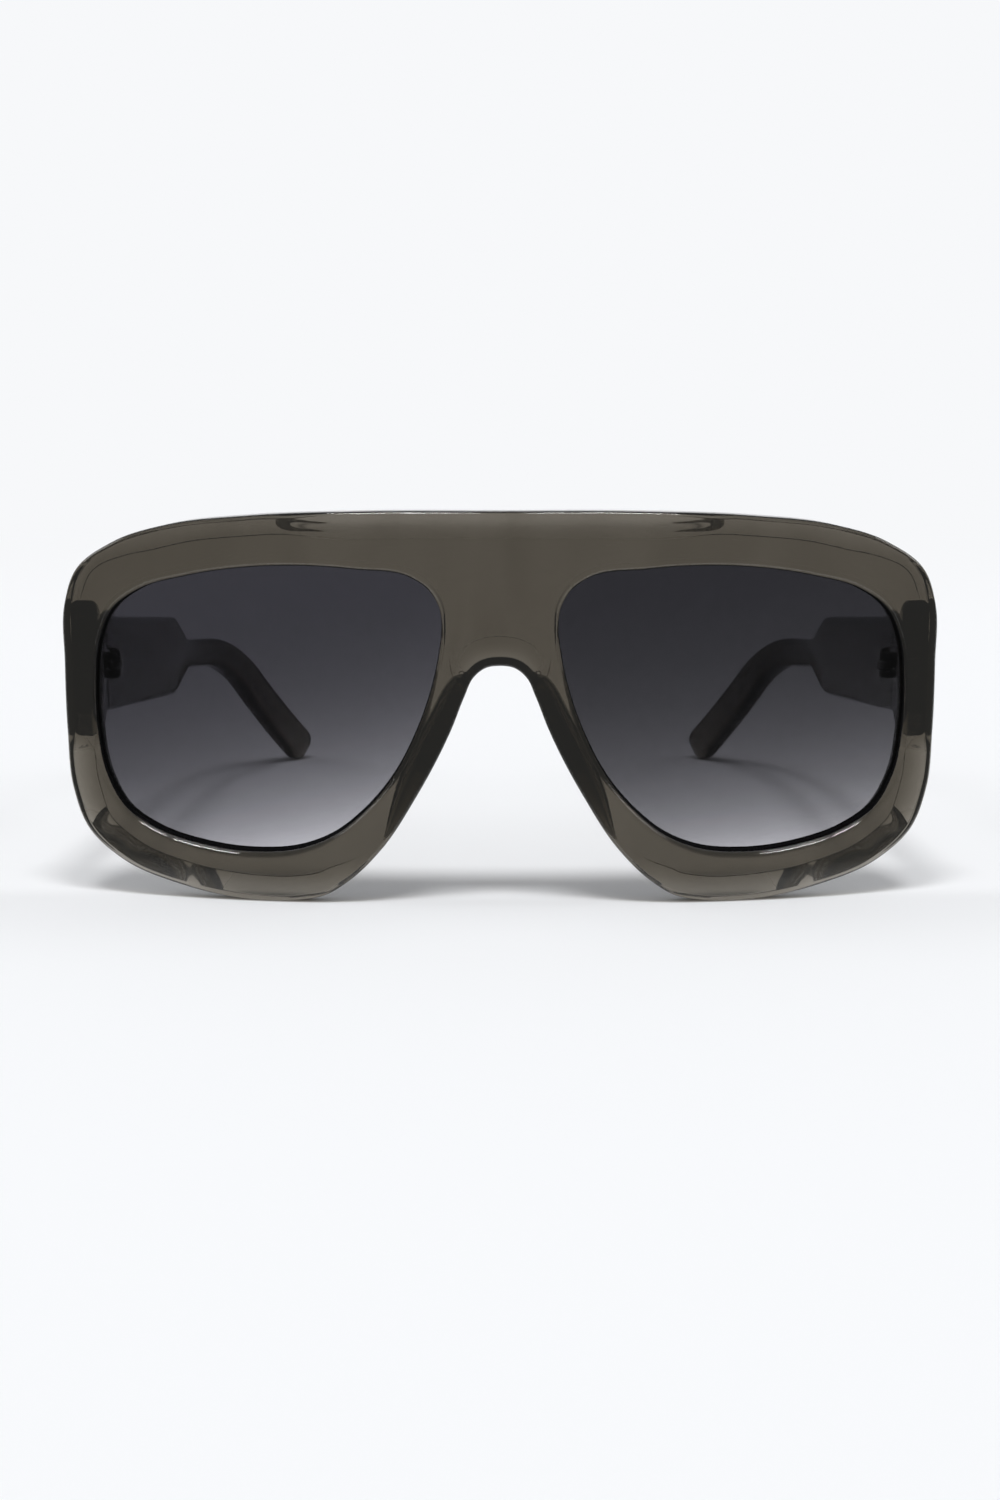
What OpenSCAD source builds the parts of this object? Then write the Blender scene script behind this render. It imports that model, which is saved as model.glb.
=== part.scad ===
// Oversized square sunglasses: a bent acetate front, two lenses and two folding temples.
// The frame stands on its rims and temple tips, with its front towards -Y and +X at the wearer's left.
// The front is drawn flat as across and up, then bent about a vertical axis behind it.

/* [Lenses] */
// Width of each lens opening, measured flat
lens_w = 60.3; // [56:0.1:64]
// Height of each lens opening
lens_h = 48.6; // [46:0.1:54]
// Thickness of each lens
lens_t = 2; // [1.6:0.1:2.4]
// Depth of the lens groove in the rim
groove_depth = 0.6; // [0.5:0.1:1.2]
// Distance from the front face back to the lens groove
lens_recess = 1.6; // [1.4:0.1:2]
// Clearance around the edge of a lens in its groove
lens_play = 0.05; // [0.02:0.01:0.1]

/* [Front] */
// Distance between the two lens openings at the nose
bridge_w = 19.5; // [18:0.1:24]
// Height of the bridge from its underside to the brow line
bridge_h = 25.8; // [22:0.1:28]
// Width of the rim above the lens
rim_top = 9.5; // [8:0.1:12]
// Width of the rim beside the lens
rim_side = 5.3; // [5.2:0.1:8]
// Width of the rim below the lens
rim_bottom = 8.4; // [7:0.1:10]
// Thickness of the front sheet
front_t = 5.5; // [5.2:0.1:6.5]
// Radius to which the front is bent
wrap_r = 265; // [200:1:500]
// Radius of the front's outer front edge
front_edge_r = 0.8; // [0.4:0.1:1.2]
// Radius of the front's outer back edge
back_edge_r = 0.6; // [0.4:0.1:1]
// Width of the bevel around the back of the front
bevel_w = 3.6; // [2.5:0.1:3.8]
// Depth of the bevel at the outer edge
bevel_t = 1.5; // [0.6:0.1:1.8]
// Width of the soft bevel over the bridge
brow_bevel_w = 4.9; // [3:0.1:5.2]
// Depth of the soft bevel over the bridge
brow_bevel_t = 1.75; // [0.5:0.05:2]
// Radius of the back edge under the bridge
arch_r = 3; // [1:0.1:3.2]
// Radius of the lip above and below each lens opening, which is half as wide at the sides
lip_r = 1; // [0.6:0.1:1.4]

/* [Nose pads] */
// Height of the lower end of a nose pad above the rim bottoms
pad_low = 12.5; // [10:0.5:14]
// Height of the upper end of a nose pad above the rim bottoms
pad_high = 37.5; // [34:0.5:37.5]
// Width of a nose pad where it is glued on
pad_w = 3.6; // [2.5:0.1:4]
// Distance that a nose pad stands out behind the front
pad_depth = 6; // [4:0.1:8]

/* [Endpieces] */
// Height of an endpiece where it is glued on
endpiece_h = 23.4; // [20:0.1:26]
// Length of an endpiece along its outer side
endpiece_len = 3.4; // [3:0.1:6]
// Gap of a glued joint
glue_gap = 0.03; // [0.01:0.01:0.1]

/* [Temples] */
// Height of a temple where it meets the endpiece
butt_h = 16.6; // [14:0.1:19]
// Height of a temple at the end of its wide part
paddle_h = 15.2; // [12:0.1:17]
// Height of the narrow arm
arm_h = 5.6; // [4.5:0.1:7]
// Height of the ear end
ear_h = 7; // [5.5:0.1:8]
// Thickness of a temple at the hinge
temple_t = 4.8; // [4.6:0.1:6]
// Thickness of the arm
arm_t = 4.2; // [3.8:0.1:5]
// Thickness of the ear end
ear_t = 4; // [3.6:0.1:5]
// Length of the wide part
paddle_len = 61; // [50:1:66]
// Length of the sloping shoulder between the wide part and the arm
shoulder_len = 13; // [10:1:20]
// Length from the hinge to the ear bend
bend_len = 92.5; // [84:0.5:100]
// Radius of the ear bend
bend_r = 35; // [25:1:45]
// Angle of the ear bend
bend_angle = 36; // [30:1:45]
// Length from the hinge to where the temple starts to curve inwards
curl_start = 75; // [60:1:90]
// Radius of the inward curve
curl_r = 95; // [80:1:150]
// Downward tilt of a temple against the front
tilt = 6.5; // [4:0.5:9]
// Inward lean of an open temple
lean = 5; // [3:0.5:7]
// Radius of a temple's long edges
temple_edge_r = 1.4; // [0.6:0.1:1.8]
// Length of the rounded tip
tip_len = 3.4; // [2.5:0.1:5]

/* [Hinges] */
// Height of the hinge middles above the rim bottoms
hinge_z = 38.5; // [36:0.1:41]
// Outer radius of the hinge knuckles
knuckle_r = 1.3; // [1.1:0.05:1.3]
// Length of each knuckle
knuckle_len = 1.5; // [1.2:0.1:2]
// Gap between neighbouring knuckles
knuckle_gap = 0.06; // [0.04:0.01:0.1]
// Distance from the hinge axis out to the temple's inner face
axis_offset = 1.45; // [1.45:0.05:1.8]
// Gap between a temple and its endpiece when open
butt_gap = 0.1; // [0.06:0.01:0.2]
// Thickness of the hinge leaves
leaf_t = 0.9; // [0.7:0.05:1]
// Length of the leaf in the temple
temple_leaf_len = 9; // [7:0.5:12]
// Length of the leaf in the endpiece
front_leaf_len = 3.2; // [2.8:0.1:3.5]
// Distance that a leaf reaches above and below the knuckles
leaf_margin = 0.6; // [0.3:0.1:1]
// Clearance around a leaf in its pocket
pocket_play = 0.03; // [0.02:0.01:0.06]
// Radius of the anchor studs of the endpiece leaf
stud_r = 0.5; // [0.4:0.05:0.6]
// Length of the anchor studs
stud_len = 2; // [1.5:0.1:2.4]
// Radius of the screw shank
screw_r = 0.6; // [0.5:0.05:0.65]
// Radial clearance of the screw in the temple knuckle
screw_play = 0.04; // [0.02:0.01:0.08]
// Radial clearance of the screw in the front knuckles
thread_play = 0.02; // [0.01:0.01:0.04]
// Radius of the screw head
head_r = 1.1; // [0.9:0.05:1.2]
// Height of the screw head
head_h = 0.8; // [0.6:0.1:1]
// Width of the screw slot
slot_w = 0.3; // [0.25:0.05:0.4]
// Depth of the screw slot
slot_depth = 0.35; // [0.25:0.05:0.5]
// Radius of the core wire
wire_r = 0.7; // [0.5:0.05:0.8]
// Clearance around the core wire
wire_play = 0.03; // [0.02:0.01:0.05]
// Distance from the hinge to the near end of the core wire
wire_start = 1.5; // [1:0.5:3]
// Distance from the far end of the core wire to the tip's rounding
wire_stop = 12; // [8:1:20]

/* [Hidden] */
acetate = [0.34, 0.32, 0.29];
lens_tint = [0.22, 0.22, 0.25];
steel = [0.72, 0.72, 0.7];

// Sides and steps of the faceted outlines
span_steps = 4;
edge_steps = 3;
lens_rows = 5;
round_fn = 48;
disc_fn = 360;

// Lines that the outlines are measured from
nasal = bridge_w / 2;
temporal = nasal + lens_w;
eye_x = nasal + lens_w / 2;
eye_z = rim_bottom + lens_h / 2;
eye_top = rim_bottom + lens_h;
half_w = temporal + rim_side;
front_h = eye_top + rim_top;
arch_z = front_h - bridge_h;

// Outer outline of the left half of the front, clockwise from the brow to the bridge's underside
outer_anchors = [
    [0, front_h],
    [eye_x - 17.6, front_h - 0.1],
    [eye_x + 2.4, front_h - 1],
    [eye_x + 16.4, front_h - 2.7],
    [half_w - 9.1, front_h - 5.9],
    [half_w - 2.3, front_h - 10.9],
    [half_w - 0.2, front_h - 16.7],
    [half_w, eye_z + 7.3],
    [half_w - 0.2, eye_z - 4.6],
    [half_w - 1, 18.4],
    [half_w - 3.7, 11.4],
    [half_w - 9.8, 6.2],
    [half_w - 20.5, 2.2],
    [eye_x + 2.1, 0.1],
    [eye_x - 4.9, 0.2],
    [eye_x - 10.3, 1.3],
    [nasal + 16, 3.7],
    [nasal + 10.5, 9.1],
    [nasal + 4.3, 18.5],
    [nasal - 1.8, arch_z - 10.3],
    [nasal - 3.8, arch_z - 5.2],
    [nasal - 5.4, arch_z - 1.9],
    [nasal - 7.3, arch_z - 0.4],
    [0, arch_z]
];
// Outline of the left lens opening, with one point beside each point above
eye_anchors = [
    [nasal + 5, eye_top - 1.7],
    [nasal + 14.6, eye_top - 0.3],
    [eye_x + 0.9, eye_top],
    [eye_x + 13.6, eye_top - 1.8],
    [temporal - 8.3, eye_top - 4.2],
    [temporal - 3.1, eye_top - 8.1],
    [temporal - 1, eye_top - 12.8],
    [temporal - 0.1, eye_z + 4.3],
    [temporal - 0.3, eye_z - 3.7],
    [temporal - 1.9, rim_bottom + 12.3],
    [temporal - 5.1, rim_bottom + 6.9],
    [temporal - 10.4, rim_bottom + 3.5],
    [temporal - 19.1, rim_bottom + 0.9],
    [eye_x + 1.4, rim_bottom],
    [eye_x - 5.6, rim_bottom + 0.7],
    [eye_x - 11.3, rim_bottom + 2.9],
    [eye_x - 16.4, rim_bottom + 6.8],
    [nasal + 8.6, rim_bottom + 12.8],
    [nasal + 4.5, rim_bottom + 20.4],
    [nasal + 1.8, rim_bottom + 27.9],
    [nasal + 0.5, rim_bottom + 33.7],
    [nasal, rim_bottom + 38],
    [nasal + 0.4, eye_top - 6.6],
    [nasal + 2.2, eye_top - 3.6]
];

function last_of(list) = list[len(list) - 1];
function mirrored(p) = [-p[0], p[1]];
function ramp(low, high, x) = let (f = min(1, max(0, (x - low) / (high - low)))) f * f * (3 - 2 * f);
function turned(p, angle) = [p[0] * cos(angle) - p[1] * sin(angle), p[0] * sin(angle) + p[1] * cos(angle)];

// Smooth curve through anchors: the heading at each follows the circle through its neighbours
function heading(a, b, c) =
    let (d = (b - a) * norm(c - b) / norm(b - a) + (c - b) * norm(b - a) / norm(c - b)) d / norm(d);
function span_point(a, b, from, to, f) = let (reach = norm(b - a))
    a * (1 - 3 * f * f + 2 * f * f * f) + b * (3 * f * f - 2 * f * f * f)
    + (from * (f - 2 * f * f + f * f * f) + to * (f * f * f - f * f)) * reach;
function span(p, i, before, after) = [for (k = [0:span_steps - 1])
    span_point(
        p[i], p[i + 1],
        heading(before, p[i], p[i + 1]), heading(p[i], p[i + 1], after),
        k / span_steps
    )];

eye_count = len(eye_anchors);
eye_around = concat([last_of(eye_anchors)], eye_anchors, [eye_anchors[0], eye_anchors[1]]);
eye_line = [for (i = [1:eye_count]) each span(eye_around, i, eye_around[i - 1], eye_around[i + 2])];
around = len(eye_line);

outer_last = len(outer_anchors) - 1;
outer_around = concat([mirrored(outer_anchors[1])], outer_anchors, [mirrored(outer_anchors[outer_last - 1])]);
edge_line = concat(
    [for (i = [1:outer_last]) each span(outer_around, i, outer_around[i - 1], outer_around[i + 2])],
    [last_of(outer_anchors)]
);
edge_count = len(edge_line);
centre_count = around - edge_count;

// Directions out of the front's edge, and out of a lens opening into its rim
function left_of(a, b) = let (d = (b - a) / norm(b - a)) [-d[1], d[0]];
function edge_way(i) = i == 0 ? [0, 1]
    : i == edge_count - 1 ? [0, -1]
    : left_of(edge_line[i - 1], edge_line[i + 1]);
edge_ways = [for (i = [0:edge_count - 1]) edge_way(i)];
eye_ways = [for (i = [0:around - 1])
    left_of(eye_line[(i + around - 1) % around], eye_line[(i + 1) % around])];

// The back edge is sharp where an endpiece or a nose pad is glued on, and full under the bridge
glued_edge_r = 0.3;
glue_blend = 3;
arch_flat = 2.5;
notch_out = nasal + 11;
function in_notch(p) = (1 - ramp(notch_out, notch_out + glue_blend, p[0]))
    * (1 - ramp(arch_z + 1, arch_z + 2, p[1]));
function at_endpiece(p) = ramp(half_w - 8, half_w - 5, p[0])
    * (1 - ramp(endpiece_h / 2 - 1, endpiece_h / 2 + glue_blend, abs(p[1] - hinge_z)));
function at_pad(p) = in_notch(p) * (1 - ramp(pad_high, pad_high + glue_blend, p[1]));
function at_arch(p) = in_notch(p) * (1 - ramp(arch_flat, 2 * arch_flat, p[0]));
function back_r(p) = back_edge_r + (glued_edge_r - back_edge_r) * max(at_endpiece(p), at_pad(p))
    + (arch_r - back_edge_r) * at_arch(p);
back_edges = [for (p = edge_line) back_r(p)];
front_edges = [for (p = edge_line) front_edge_r];

// The bevel leaves out the glued places and the notch, and runs in softly along the brow
least_bevel_w = 1.5;
brow_soft = 25;
brow_crisp = 45;
function bevel_share(p) = 1 - max(at_endpiece(p), in_notch(p));
function softness(p) = p[1] > eye_z ? 1 - ramp(brow_soft, brow_crisp, p[0]) : 0;
corner_start = 38;
corner_end = 60;
corner_narrowing = 0.4;
function bevel_width(p) = bevel_w + (brow_bevel_w - bevel_w) * softness(p)
    - (p[1] < eye_z ? bevel_w * corner_narrowing * ramp(corner_start, corner_end, p[0]) : 0);
function bevel_depth(p) = (bevel_t + (brow_bevel_t - bevel_t) * softness(p)) * bevel_share(p);
bevel_ins = [for (p = edge_line) least_bevel_w + max(0, arch_r - least_bevel_w) * at_arch(p)
    + (bevel_width(p) - least_bevel_w) * bevel_share(p)];
slants = [for (i = [0:edge_count - 1]) atan(bevel_depth(edge_line[i]) / bevel_ins[i])];

// Point of the outer rail: drawn in from the edge, and beyond the edge up the middle of the bridge
function drawn_in(i, insets) = edge_line[i] - edge_ways[i] * insets[i];
function rail_point(i, insets) = i < edge_count ? drawn_in(i, insets)
    : let (f = (i - edge_count + 1) / (centre_count + 1))
        drawn_in(edge_count - 1, insets) * (1 - f) + drawn_in(0, insets) * f;
function eye_point(i, out) = eye_line[i] + eye_ways[i] * out;

function bent(p, depth) = let (a = p[0] / wrap_r * 180 / PI)
    [(wrap_r - depth) * sin(a), wrap_r - (wrap_r - depth) * cos(a), p[1]];

// The front: rails run from the outer front edge over the front face, through a lens opening and back again
groove_end = lens_recess + lens_t + 2 * lens_play;
back_lip_r = 0.8;
lip_turn = 90 / edge_steps;
lip_shares = [for (way = eye_ways) (1 + abs(way[1])) / 2];
lip_rails = concat(
    [for (k = [0:edge_steps]) [lip_r * (1 - sin(k * lip_turn)), 0, lip_r * (1 - cos(k * lip_turn))]],
    [[0, 0, lens_recess], [0, groove_depth, lens_recess], [0, groove_depth, groove_end], [0, 0, groove_end]],
    [for (k = [edge_steps:-1:0])
        [0, back_lip_r * (1 - sin(k * lip_turn)), front_t - back_lip_r * (1 - cos(k * lip_turn))]]
);
function lip_point(i, rail) = eye_point(i, rail[0] * lip_shares[i] + rail[1]);
tube_points = concat(
    [for (i = [0:around - 1]) bent(rail_point(i, front_edges), 0)],
    [for (i = [0:around - 1]) bent((rail_point(i, front_edges) + lip_point(i, lip_rails[0])) / 2, 0)],
    [for (rail = lip_rails) each [for (i = [0:around - 1]) bent(lip_point(i, rail), rail[2])]],
    [for (i = [0:around - 1]) bent((rail_point(i, bevel_ins) + eye_point(i, back_lip_r)) / 2, front_t)],
    [for (i = [0:around - 1]) bent(rail_point(i, bevel_ins), front_t)]
);
tube_rails = len(lip_rails) + 4;

// The outer edge: rails from the front face over the front edge, the back edge and the bevel
function front_arc(i, a) =
    bent(edge_line[i] - edge_ways[i] * front_edge_r * (1 - sin(a)), front_edge_r * (1 - cos(a)));
function bevel_drop(i, inset) = (bevel_ins[i] - inset) * tan(slants[i]);
function back_arc(i, a) = let (r = back_edges[i], last = r * (1 - sin(slants[i])))
    bent(
        edge_line[i] - edge_ways[i] * r * (1 - sin(a)),
        front_t - bevel_drop(i, last) + r * (cos(a) - cos(slants[i]))
    );
function bevel_middle(i) = let (inset = (back_edges[i] * (1 - sin(slants[i])) + bevel_ins[i]) / 2)
    bent(
        edge_line[i] - edge_ways[i] * inset,
        front_t - bevel_drop(i, inset) * (1 + softness(edge_line[i]) / 2)
    );
band_inner = 2 * edge_steps + 2;
function band_point(i, rail) = rail <= edge_steps ? front_arc(i, rail * lip_turn)
    : rail == band_inner ? bevel_middle(i)
    : back_arc(i, 90 - (90 - slants[i]) * (rail - edge_steps - 1) / edge_steps);
band_points = [for (rail = [1:band_inner]) each [for (i = [0:edge_count - 1]) band_point(i, rail)]];
half_points = concat(tube_points, band_points);
half_count = len(half_points);

function tube_at(rail, i) = rail * around + i % around;
function band_at(rail, i) = rail == 0 ? i
    : rail > band_inner ? (tube_rails - 1) * around + i
    : tube_rails * around + (rail - 1) * edge_count + i;
half_faces = concat(
    [for (r = [0:tube_rails - 2]) each [for (i = [0:around - 1]) each
        [[tube_at(r, i), tube_at(r, i + 1), tube_at(r + 1, i + 1)],
         [tube_at(r, i), tube_at(r + 1, i + 1), tube_at(r + 1, i)]]]],
    [for (r = [0:band_inner]) each [for (i = [0:edge_count - 2]) each
        [[band_at(r, i), band_at(r + 1, i), band_at(r + 1, i + 1)],
         [band_at(r, i), band_at(r + 1, i + 1), band_at(r, i + 1)]]]]
);
// The right half shares the points that lie in the middle plane
on_middle = 0.000001;
function twin(k) = abs(half_points[k][0]) < on_middle ? k : k + half_count;
twin_points = [for (p = half_points) [-p[0], p[1], p[2]]];
twin_faces = [for (f = half_faces) [twin(f[2]), twin(f[1]), twin(f[0])]];

// A closed tube through rings of points, with flat ends
function ring_faces(rings, sides) = concat(
    [for (r = [0:rings - 2]) each [for (k = [0:sides - 1]) each
        let (a = r * sides + k, b = r * sides + (k + 1) % sides)
        [[a, b, b + sides], [a, b + sides, a + sides]]]],
    [[for (k = [sides - 1:-1:0]) k]],
    [[for (k = [0:sides - 1]) (rings - 1) * sides + k]]
);
module skin(rings) {
    sides = len(rings[0]);
    polyhedron(points = [for (ring = rings) each ring], faces = ring_faces(len(rings), sides), convexity = 6);
}

// A lens: rows of points shrink from the edge to the middle on both faces
lens_front = lens_recess + lens_play;
lens_middle = [eye_x, eye_z];
function lens_point(i, row, depth) =
    bent(lens_middle + (eye_point(i, groove_depth - lens_play) - lens_middle) * (1 - row / lens_rows), depth);
function lens_face(depth) = concat(
    [for (row = [0:lens_rows - 1]) each [for (i = [0:around - 1]) lens_point(i, row, depth)]],
    [bent(lens_middle, depth)]
);
face_points = lens_rows * around + 1;
function row_at(row, i) = row * around + i % around;
front_lens_faces = concat(
    [for (row = [0:lens_rows - 2]) each [for (i = [0:around - 1]) each
        [[row_at(row, i), row_at(row, i + 1), row_at(row + 1, i + 1)],
         [row_at(row, i), row_at(row + 1, i + 1), row_at(row + 1, i)]]]],
    [for (i = [0:around - 1]) [row_at(lens_rows - 1, i), row_at(lens_rows - 1, i + 1), face_points - 1]]
);
lens_faces = concat(
    front_lens_faces,
    [for (f = front_lens_faces) [f[2] + face_points, f[1] + face_points, f[0] + face_points]],
    [for (i = [0:around - 1]) each
        [[row_at(0, i), row_at(0, i + 1) + face_points, row_at(0, i + 1)],
         [row_at(0, i), row_at(0, i) + face_points, row_at(0, i + 1) + face_points]]]
);

// A nose pad: half ovals along the notch, on the back of the front
pad_steps = 16;
pad_sides = 9;
pad_end = 0.25;
pad_fullness = 0.7;
pad_inset = 0.5;
pad_lean = 1.2;
notch_line = [for (i = [outer_last / 2 * span_steps:edge_count - 1]) edge_line[i]];
function notch_x(z) = lookup(z, [for (p = notch_line) [p[1], p[0]]]);
function notch_way(z) = left_of([notch_x(z - 1), z - 1], [notch_x(z + 1), z + 1]);
function pad_ring(j) = let (f = j / pad_steps,
    z = pad_low + (pad_high - pad_low) * f,
    swell = pad_end + (1 - pad_end) * pow(sin(180 * f), pad_fullness),
    way = notch_way(z),
    middle = pad_inset + pad_w * swell / 2)
    [for (k = [0:pad_sides - 1]) let (a = 180 * k / (pad_sides - 1), rise = pad_depth * swell * sin(a))
        bent([notch_x(z), z] - way * (middle + pad_w * swell / 2 * cos(a) + pad_lean * rise / pad_depth),
            front_t + glue_gap + rise)];

// The hinge axis stands where the endpiece, behind the front's edge, meets the temple
edge_corner = bent([half_w, 0], front_t);
hinge_at = [edge_corner[0], edge_corner[1]] - turned([temple_t + axis_offset, -endpiece_len], lean);

// Side and plan of a temple, by the length along it: straight, bent down at the ear, straight again
ear_tilt = tilt + bend_angle;
bend_arc = bend_r * bend_angle * PI / 180;
tip_low = norm([tip_len * sin(ear_tilt), ear_h / 2 * cos(ear_tilt)]);
bend_drop = bend_len * sin(tilt) + bend_r * (cos(tilt) - cos(ear_tilt));
ear_len = (hinge_z - bend_drop - tip_low) / sin(ear_tilt);
temple_len = bend_len + bend_arc + ear_len;
function slope_at(s) = tilt + bend_angle * min(1, max(0, (s - bend_len) / bend_arc));
function run_at(s) = let (past = max(0, s - bend_len - bend_arc))
    min(s, bend_len) * cos(tilt) + bend_r * (sin(slope_at(s)) - sin(tilt)) + past * cos(ear_tilt);
function drop_at(s) = let (past = max(0, s - bend_len - bend_arc))
    min(s, bend_len) * sin(tilt) + bend_r * (cos(tilt) - cos(slope_at(s))) + past * sin(ear_tilt);
function curl_at(s) = max(0, run_at(s) - curl_start) / curl_r * 180 / PI;
function middle_at(s) = [
    axis_offset + temple_t / 2 - curl_r * (1 - cos(curl_at(s))),
    butt_gap / 2 + min(run_at(s), curl_start) + curl_r * sin(curl_at(s)),
    hinge_z - drop_at(s)
];
function out_at(s) = [cos(curl_at(s)), sin(curl_at(s)), 0];
function up_at(s, slope) = [-sin(slope) * sin(curl_at(s)), sin(slope) * cos(curl_at(s)), cos(slope)];
function height_at(s) = lookup(s, [
    [0, butt_h],
    [paddle_len, paddle_h],
    [paddle_len + shoulder_len, arm_h],
    [bend_len, arm_h],
    [bend_len + bend_arc, ear_h]
]);
function thick_at(s) = lookup(s, [
    [temple_leaf_len + shoulder_len, temple_t],
    [paddle_len + shoulder_len, arm_t],
    [bend_len + bend_arc, ear_t]
]);
corner_steps = 3;
least_flat = 0.1;
function section(h, t, r) = [for (quarter = [0:3]) each [for (k = [0:corner_steps])
    let (a = quarter * 90 + k * 90 / corner_steps, right = quarter == 0 || quarter == 3 ? 1 : -1,
        up = quarter < 2 ? 1 : -1)
    [right * (t / 2 - r) + r * cos(a), up * (h / 2 - r) + r * sin(a)]]];
function temple_ring(s, scale) = let (slope = s == 0 ? 0 : slope_at(s), h = height_at(s), t = thick_at(s))
    [for (p = section(h, t, min(temple_edge_r, t / 2 - least_flat, h / 2 - least_flat)))
        middle_at(s) + (out_at(s) * p[0] + up_at(s, slope) * p[1]) * scale];
temple_steps = 40;
tip_steps = 6;
tip_turn = 14;
temple_rings = concat(
    [for (k = [0:temple_steps]) temple_ring(temple_len * k / temple_steps, 1)],
    [for (k = [1:tip_steps]) temple_ring(temple_len + tip_len * sin(k * tip_turn), cos(k * tip_turn))]
);

// The core wire follows the temple, beside its leaf
wire_sides = 8;
wire_steps = 32;
wire_end = temple_len - wire_stop;
wire_in = temple_t / 2 - leaf_t - pocket_play - wire_r;
function wire_ring(s, r) = let (sideways = out_at(s), up = up_at(s, slope_at(s)),
    middle = middle_at(s) - sideways * wire_in * thick_at(s) / temple_t)
    [for (k = [0:wire_sides - 1]) let (a = 360 * (k + 0.5) / wire_sides)
        middle + (sideways * cos(a) + up * sin(a)) * r];
function wire_rings(r, extra) = [for (k = [0:wire_steps])
    wire_ring(wire_start - extra + (wire_end - wire_start + 2 * extra) * k / wire_steps, r)];

// Knuckles: two on the front leaf, with the temple's one between them. Pockets are cut past the open faces
stack_h = 3 * knuckle_len + 2 * knuckle_gap;
leaf_h = stack_h + 2 * leaf_margin;
temple_leaf_h = knuckle_len + 4 * leaf_margin;
web_in = 0.1;
web_out = axis_offset + leaf_t / 2;
cut_past = 1;
endpiece_reach = 12;

// Distance from the foremost point to the rearmost one, which centres the part on its origin
temple_places = [for (ring = temple_rings) each [for (p = ring) hinge_at + turned([p[0], p[1]], lean)]];
depth = max([for (p = temple_places) p[1]]);

module placed(side) {
    translate([0, -depth / 2, 0]) {
        if (side > 0) children();
        else mirror([1, 0, 0]) children();
    }
}

module at_hinge(side) {
    placed(side)
        translate([hinge_at[0], hinge_at[1], 0])
            rotate([0, 0, lean])
                children();
}

module front_frame() {
    color(acetate)
        placed(1)
            polyhedron(
                points = concat(half_points, twin_points),
                faces = concat(half_faces, twin_faces),
                convexity = 8
            );
}

module lens(side) {
    color(lens_tint)
        placed(side)
            polyhedron(
                points = concat(lens_face(lens_front), lens_face(lens_front + lens_t)),
                faces = lens_faces,
                convexity = 4
            );
}

module nose_pad(side) {
    color(acetate)
        placed(side)
            skin([for (j = [0:pad_steps]) pad_ring(j)]);
}

// Block of the given low corner and high corner
module slab(low, high) {
    translate(low)
        cube(high - low);
}

module front_leaf_solid(play) {
    inner = axis_offset - (play > 0 ? cut_past : 0);
    near = -butt_gap / 2 + (play > 0 ? cut_past : 0);
    half_h = leaf_h / 2 + play;
    slab(
        [inner, -front_leaf_len - play, hinge_z - half_h],
        [axis_offset + leaf_t + play, near, hinge_z + half_h]
    );
    for (up = [-1, 1])
        translate([axis_offset, -front_leaf_len / 2, hinge_z + up * stack_h / 3])
            rotate([0, 90, 0])
                cylinder(r = stud_r + play, h = leaf_t + stud_len + play, $fn = round_fn);
}

module endpiece(side) {
    color(acetate)
        difference() {
            intersection() {
                at_hinge(side)
                    translate([axis_offset, 0, hinge_z])
                        rotate([90, 0, 90])
                            linear_extrude(temple_t)
                                polygon([
                                    [-butt_gap / 2, -butt_h / 2],
                                    [-butt_gap / 2, butt_h / 2],
                                    [-endpiece_len, endpiece_h / 2],
                                    [-endpiece_reach, endpiece_h / 2],
                                    [-endpiece_reach, -endpiece_h / 2],
                                    [-endpiece_len, -endpiece_h / 2]
                                ]);
                placed(side)
                    translate([0, wrap_r, 0])
                        cylinder(r = wrap_r - front_t - glue_gap, h = front_h, $fn = disc_fn);
            }
            at_hinge(side) front_leaf_solid(pocket_play);
        }
}

module knuckle(up) {
    translate([0, 0, hinge_z + up * (knuckle_len + knuckle_gap) - knuckle_len / 2])
        cylinder(r = knuckle_r, h = knuckle_len, $fn = round_fn);
}

module screw_hole(up, play) {
    translate([0, 0, hinge_z + up * (knuckle_len + knuckle_gap) - knuckle_len])
        cylinder(r = screw_r + play, h = 2 * knuckle_len, $fn = round_fn);
}

module hinge_front_leaf(side) {
    color(steel)
        at_hinge(side)
            difference() {
                union() {
                    front_leaf_solid(0);
                    for (up = [-1, 1]) {
                        knuckle(up);
                        translate([0, 0, hinge_z + up * (knuckle_len + knuckle_gap)])
                            slab([0, -knuckle_r, -knuckle_len / 2], [web_out, -web_in, knuckle_len / 2]);
                    }
                }
                screw_hole(-1, thread_play);
                screw_hole(1, thread_play);
            }
}

module temple_leaf_solid(play) {
    inner = axis_offset - (play > 0 ? cut_past : 0);
    near = butt_gap / 2 + (play > 0 ? -cut_past : web_in);
    half_h = temple_leaf_h / 2 + play;
    slab(
        [inner, near, hinge_z - half_h],
        [axis_offset + leaf_t + play, temple_leaf_len + play, hinge_z + half_h]
    );
}

module hinge_temple_leaf(side) {
    color(steel)
        at_hinge(side)
            difference() {
                union() {
                    temple_leaf_solid(0);
                    knuckle(0);
                    translate([0, 0, hinge_z])
                        slab([0, web_in, -knuckle_len / 2], [web_out, knuckle_r, knuckle_len / 2]);
                }
                screw_hole(0, screw_play);
            }
}

module hinge_screw(side) {
    top = hinge_z + stack_h / 2 + thread_play;
    color(steel)
        at_hinge(side)
            difference() {
                union() {
                    translate([0, 0, hinge_z - stack_h / 2])
                        cylinder(r = screw_r, h = stack_h + head_h / 2, $fn = round_fn);
                    translate([0, 0, top])
                        cylinder(r = head_r, h = head_h, $fn = round_fn);
                }
                translate([-2 * head_r, -slot_w / 2, top + head_h - slot_depth])
                    cube([4 * head_r, slot_w, slot_depth + cut_past]);
            }
}

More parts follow.
